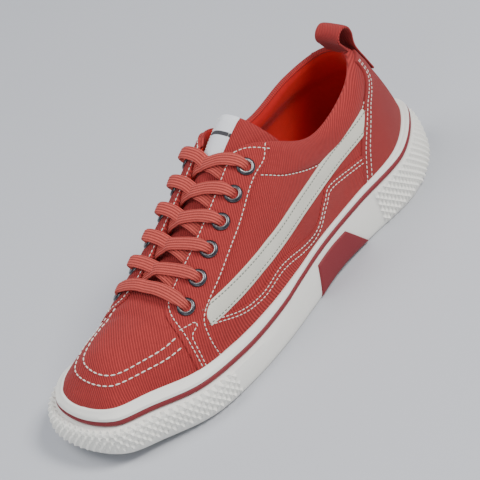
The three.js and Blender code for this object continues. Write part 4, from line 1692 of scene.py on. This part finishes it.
def build_studs():
    """Rows of small pyramids on the toe and heel bumpers."""
    base = np.array([(1, 1), (-1, 1), (-1, -1), (1, -1)], float)
    rings = [base * (STUD_PITCH * share) for share in (0.29, 0.27, 0.06)]
    heights = (-0.6, 0.0, STUD_HEIGHT)
    sections = np.stack([np.column_stack([ring, np.full(4, z)]) for ring, z in zip(rings, heights)])
    stud = loft("stud_shape", sections - SHIFT, np.zeros(sections.shape[:2] + (2,)))
    fine = np.linspace(0, ROUND, 4401)
    path = swung(wall(fine, 0, 0))
    round_it = np.concatenate([[0], np.cumsum(np.linalg.norm(np.diff(path, axis=0), axis=1))])
    count = int(round_it[-1] / STUD_PITCH)
    points, up, way = [], [], []
    for j in range(STUD_LEVELS):
        u = np.interp((np.arange(count) + 0.5 * (j % 2)) * round_it[-1] / count, round_it, fine)
        run = STUD_TOP + j * STUD_PITCH / 2
        z = down_the_wall(u, run)[1]
        u = u[(bumper(along("x", u)) > 0.9) & (z > ground(along("x", u)) + STUD_START)]
        here, ahead, behind, over, under = (
            swung(wall(u + du, *down_the_wall(u + du, run + step)[:2]))
            for du, step in ((0, 0), (0.02, 0), (-0.02, 0), (0, -0.5), (0, 0.5)))
        points.append(here)
        up.append(unit(np.cross(over - under, ahead - behind)))
        way.append(unit(ahead - behind))
    points, up, way = (np.concatenate(part) for part in (points, up, way))
    seed = seed_points(points, up, way, np.ones(len(points)))
    values = {"Shape": stud, "Finish": finish_named("rubber")}
    piece = grown("bumper_studs", seed, tree_named(scatter_tree), values)
    bpy.data.objects.remove(stud)
    piece.data.shade_flat()
    finish_piece(piece, finish_named("rubber"))


def build_patch():
    """The plain red patch on the outer side of the sole's waist."""
    level = np.concatenate([[0, 0.03], np.linspace(0.12, 0.88, 8), [0.97, 1]])[:, None]
    across = np.concatenate([[0, 0.01], np.linspace(0.05, 0.95, 26), [0.99, 1]])[None, :]
    start = 90 + (104 - 90) * level
    end = 139 + (133 - 139) * level
    x = start + (end - start) * across
    fine = np.linspace(0, TOE, 3001)
    u = np.interp(x, along("x", fine), fine)
    z = ground(x) + 0.8 + (17.5 - 0.8) * level
    inset = wall_inset(u, z)
    edge = np.zeros(z.shape)
    edge[0] = edge[-1] = edge[:, 0] = edge[:, -1] = 0.5
    top = swung(wall(u, inset - 1.1 + edge, z))
    low = swung(wall(u, inset + 0.4, z))
    uv = np.stack([x, z], -1)
    piece = rounded(shell("waist_patch", top, low, uv))
    finish_piece(piece, finish_named("red_rubber"))


# ------------------------------------------------------------------ stitching

TOE_ROWS = ((0.57, 0.13), (0.475, 0.07))  # share at the outer end, and the rise over the toe
HOOK = ((7.8, 0.58), (7.55, 0.53), (7.5, 0.505), (7.57, 0.49), (7.68, 0.47), (7.7, 0.4), (7.67, 0.12))


def toe_row(share, rise):
    """A row round the toe, a little higher over its tip and inner side."""
    rib = np.linspace(8.03, 14.2, 200)
    return np.column_stack([rib, share + rise * smoothstep(rib, 9, 12.3)])


def collar_row():
    """A row along the collar's seam, from the eyestay back to the counter."""
    rib = np.linspace(4.75, 1.85, 160)
    return np.column_stack([rib, share_on(COLLAR_SEAM, rib) - 0.003])


def inside(edge, inset):
    """A line of (rib, share) moved square to itself, down and towards the heel."""
    span = np.array([RIB_SPAN, SHARE_SPAN])
    way = unit(np.gradient(edge * span, axis=0))
    return edge + inset * np.stack([way[:, 1], -way[:, 0]], -1) / span


def build_stitching():
    """The rows of contrast stitching on the upper."""
    tall = EYESTAY_HEIGHT + 0.02
    for name, side in SIDES:
        stay = Panel(EYESTAY_FRONT, EYESTAY_REAR, side, height=EYESTAY_HEIGHT)
        rows = [
            row_on_last(stay.row_along(3.2, 0.02, 1.0), side, tall),
            row_on_last(stay.row_along(2.3, 0.0, 1.0, other_edge=True), side, tall),
            row_on_last(stay.row_across(2.6, 0.06, 1.0), side, tall),
            sewn_line(HOOK, side, tall),
            row_on_last(collar_row(), side, 0.12),
        ]
        sew(f"eyestay_stitches_{name}", rows, "white_thread", 2.6, 1.95, 0.6)
        edge = smooth_line(OVERLAY_EDGE, 200)[4:-8]
        low = [(k, 0.05) for k in edge[:, 0]]
        cover = Panel(edge, low, side, height=OVERLAY_HEIGHT)
        height = OVERLAY_HEIGHT + 0.02
        rows = [row_on_last(cover.row_along(inset, 0.0, 0.99, count=260), side, height)
                for inset in (2.0, 4.4)]
        edge = smooth_line(COUNTER_EDGE, 200)
        for inset in (2.2, 4.6):
            line = inside(edge, inset)[4:]
            height = COUNTER_HEIGHT + 0.5 * smoothstep(line[:, 1], 0.5, 0.6)
            rows.append(row_on_last(line, side, height))
        sew(f"quarter_stitches_{name}", rows, "white_thread", 2.6, 1.95, 0.6)
    rows = [row_on_last(toe_row(*row), 1, 0.1) for row in TOE_ROWS]
    sew("toe_stitches", rows, "white_thread", 3.7, 2.9, 0.85)


# ------------------------------------------------------------------ camera and light

AIM = (0.00245, 0.00297, 0.0393)
AZIMUTH = 54.0
ELEVATION = 32.8
ROLL = -23.1
DISTANCE = 1.366
FIELD = 5.19                   # length of the lens, in widths of its frame


def add_light(name, place, size, power, colour=(1, 1, 1)):
    data = bpy.data.lights.new(name, "AREA")
    data.shape = "SQUARE"
    data.size = size
    data.energy = power
    data.color = colour
    lamp = bpy.data.objects.new(name, data)
    bpy.context.scene.collection.objects.link(lamp)
    lamp.location = place
    lamp.rotation_mode = "QUATERNION"
    lamp.rotation_quaternion = (Vector((0, 0, 0.04)) - Vector(place)).to_track_quat("-Z", "Y")


def build_camera():
    """The camera, turned about its own axis so that the shoe stands at a slant."""
    a, e, r = (math.radians(v) for v in (AZIMUTH, ELEVATION, ROLL))
    back = Vector((math.cos(a) * math.cos(e), math.sin(a) * math.cos(e), math.sin(e)))
    right = Vector((0, 0, 1)).cross(back).normalized()
    up = back.cross(right)
    across = right * math.cos(r) + up * math.sin(r)
    above = up * math.cos(r) - right * math.sin(r)
    data = bpy.data.cameras.new("camera")
    data.sensor_width = 36
    data.lens = data.sensor_width * FIELD
    data.clip_start, data.clip_end = 0.05, 50
    camera = bpy.data.objects.new("camera", data)
    bpy.context.scene.collection.objects.link(camera)
    place = Vector(AIM) + back * DISTANCE
    turn = Matrix((across, above, back)).transposed().to_4x4()
    camera.matrix_world = Matrix.Translation(place) @ turn
    bpy.context.scene.camera = camera


def build_floor():
    mesh = bpy.data.meshes.new("floor")
    reach = 3.0
    corners = [(-reach, -reach, 0), (reach, -reach, 0), (reach, reach, 0), (-reach, reach, 0)]
    mesh.from_pydata(corners, [], [(0, 1, 2, 3)])
    floor = bpy.data.objects.new("floor", mesh)
    bpy.context.scene.collection.objects.link(floor)
    f = Finish("floor_paint", {"Roughness": 0.7})
    cloud = f.noise(3, 2)
    f.colour(f.mix(cloud, (0.52, 0.53, 0.56, 1), (0.56, 0.57, 0.60, 1)))
    mesh.materials.append(f.material)


def build_light():
    world = bpy.data.worlds.new("studio")
    bpy.context.scene.world = world
    world.use_nodes = True
    backdrop = world.node_tree.nodes["Background"]
    backdrop.inputs["Color"].default_value = (0.80, 0.86, 1.0, 1)
    backdrop.inputs["Strength"].default_value = 0.42
    add_light("key", (-0.55, 0.95, 1.35), 0.6, 30, (1.0, 0.985, 0.96))
    add_light("top", (0.5, -0.5, 1.4), 0.9, 13, (1.0, 0.99, 0.97))
    add_light("front", (1.4, 0.7, 0.6), 0.8, 5, (0.96, 0.98, 1.0))


# ------------------------------------------------------------------ add-on


def colour_property(name, description, default):
    return bpy.props.FloatVectorProperty(name=name, description=description, subtype="COLOR",
                                         size=3, min=0, max=1, default=default)


class ShoeColours(bpy.types.PropertyGroup):
    """Colours of the shoe's materials."""

    canvas: colour_property("Canvas", "Twill of the quarters, vamp and collar", (0.345, 0.034, 0.031))
    fine_canvas: colour_property("Fine canvas", "Smoother cloth of the counter and overlays",
                                 (0.295, 0.033, 0.031))
    lining: colour_property("Lining", "Bright cloth inside the collar", (0.59, 0.020, 0.018))
    lace: colour_property("Lace", "Flat braided lace", (0.55, 0.084, 0.066))
    leather: colour_property("Leather", "Side bands", (0.66, 0.64, 0.54))
    rubber: colour_property("Rubber", "Cup sole", (0.87, 0.855, 0.79))
    red_rubber: colour_property("Red rubber", "Pinstripe and patch", (0.21, 0.018, 0.024))
    eyelet: colour_property("Eyelets", "Plated steel", (0.055, 0.055, 0.062))
    thread: colour_property("Thread", "Contrast stitching", (0.80, 0.77, 0.68))
    band_thread: colour_property("Band thread", "Stitching on the bands", (0.13, 0.15, 0.12))


class ShoeOperator:
    """What every operator of the shoe shares: it runs its makers in order."""

    bl_options = {"REGISTER", "UNDO"}
    makers = ()

    def execute(self, context):
        for maker in self.makers:
            maker()
        return {"FINISHED"}


class SHOE_OT_stage(ShoeOperator, bpy.types.Operator):
    """Camera, floor and studio light"""

    bl_idname = "shoe.stage"
    bl_label = "Stage"
    makers = (build_camera, build_floor, build_light)


class SHOE_OT_sole(ShoeOperator, bpy.types.Operator):
    """Cup sole with its pinstripe, studs and patch"""

    bl_idname = "shoe.sole"
    bl_label = "Sole"
    makers = (build_sole, build_pinstripe, build_studs, build_patch)


class SHOE_OT_upper(ShoeOperator, bpy.types.Operator):
    """Quarters and vamp"""

    bl_idname = "shoe.upper"
    bl_label = "Upper"
    makers = (build_quarters, build_vamp)


class SHOE_OT_overlays(ShoeOperator, bpy.types.Operator):
    """Overlays, heel counter, eyestays and side bands"""

    bl_idname = "shoe.overlays"
    bl_label = "Overlays"
    makers = (build_overlays, build_counter, build_bands, build_eyestays)


class SHOE_OT_collar(ShoeOperator, bpy.types.Operator):
    """Padded collar and lining"""

    bl_idname = "shoe.collar"
    bl_label = "Collar and lining"
    makers = (build_collar, build_lining)


class SHOE_OT_tongue(ShoeOperator, bpy.types.Operator):
    """Tongue with its label"""

    bl_idname = "shoe.tongue"
    bl_label = "Tongue"
    makers = (build_tongue, build_label)


class SHOE_OT_insole(ShoeOperator, bpy.types.Operator):
    """Insole"""

    bl_idname = "shoe.insole"
    bl_label = "Insole"
    makers = (build_insole,)


class SHOE_OT_eyelets(ShoeOperator, bpy.types.Operator):
    """Eyelets"""

    bl_idname = "shoe.eyelets"
    bl_label = "Eyelets"
    makers = (build_eyelets,)


class SHOE_OT_laces(ShoeOperator, bpy.types.Operator):
    """Lace through the eyelets"""

    bl_idname = "shoe.laces"
    bl_label = "Laces"
    makers = (build_laces,)


class SHOE_OT_pull_loop(ShoeOperator, bpy.types.Operator):
    """Pull loop at the heel"""

    bl_idname = "shoe.pull_loop"
    bl_label = "Pull loop"
    makers = (build_pull_loop,)


class SHOE_OT_stitching(ShoeOperator, bpy.types.Operator):
    """Contrast stitching on the upper"""

    bl_idname = "shoe.stitching"
    bl_label = "Stitching"
    makers = (build_stitching,)


OPERATORS = (SHOE_OT_stage, SHOE_OT_sole, SHOE_OT_upper, SHOE_OT_overlays, SHOE_OT_collar,
             SHOE_OT_tongue, SHOE_OT_insole, SHOE_OT_eyelets, SHOE_OT_laces, SHOE_OT_pull_loop,
             SHOE_OT_stitching)


class SHOE_PT_panel(bpy.types.Panel):
    """The shoe's colours and the operators that build its pieces"""

    bl_label = "Canvas Shoe"
    bl_idname = "SHOE_PT_panel"
    bl_space_type = "VIEW_3D"
    bl_region_type = "UI"
    bl_category = "Shoe"

    def draw(self, context):
        colours = context.scene.shoe_colours
        for key in ShoeColours.__annotations__:
            self.layout.prop(colours, key)
        for operator in OPERATORS:
            self.layout.operator(operator.bl_idname)


CLASSES = (ShoeColours, *OPERATORS, SHOE_PT_panel)


def register():
    for item in CLASSES:
        bpy.utils.register_class(item)
    bpy.types.Scene.shoe_colours = bpy.props.PointerProperty(type=ShoeColours)


def unregister():
    del bpy.types.Scene.shoe_colours
    for item in reversed(CLASSES):
        bpy.utils.unregister_class(item)


def main():
    register()
    for operator in OPERATORS:
        group, name = operator.bl_idname.split(".")
        getattr(getattr(bpy.ops, group), name)()


if __name__ == "__main__":
    main()
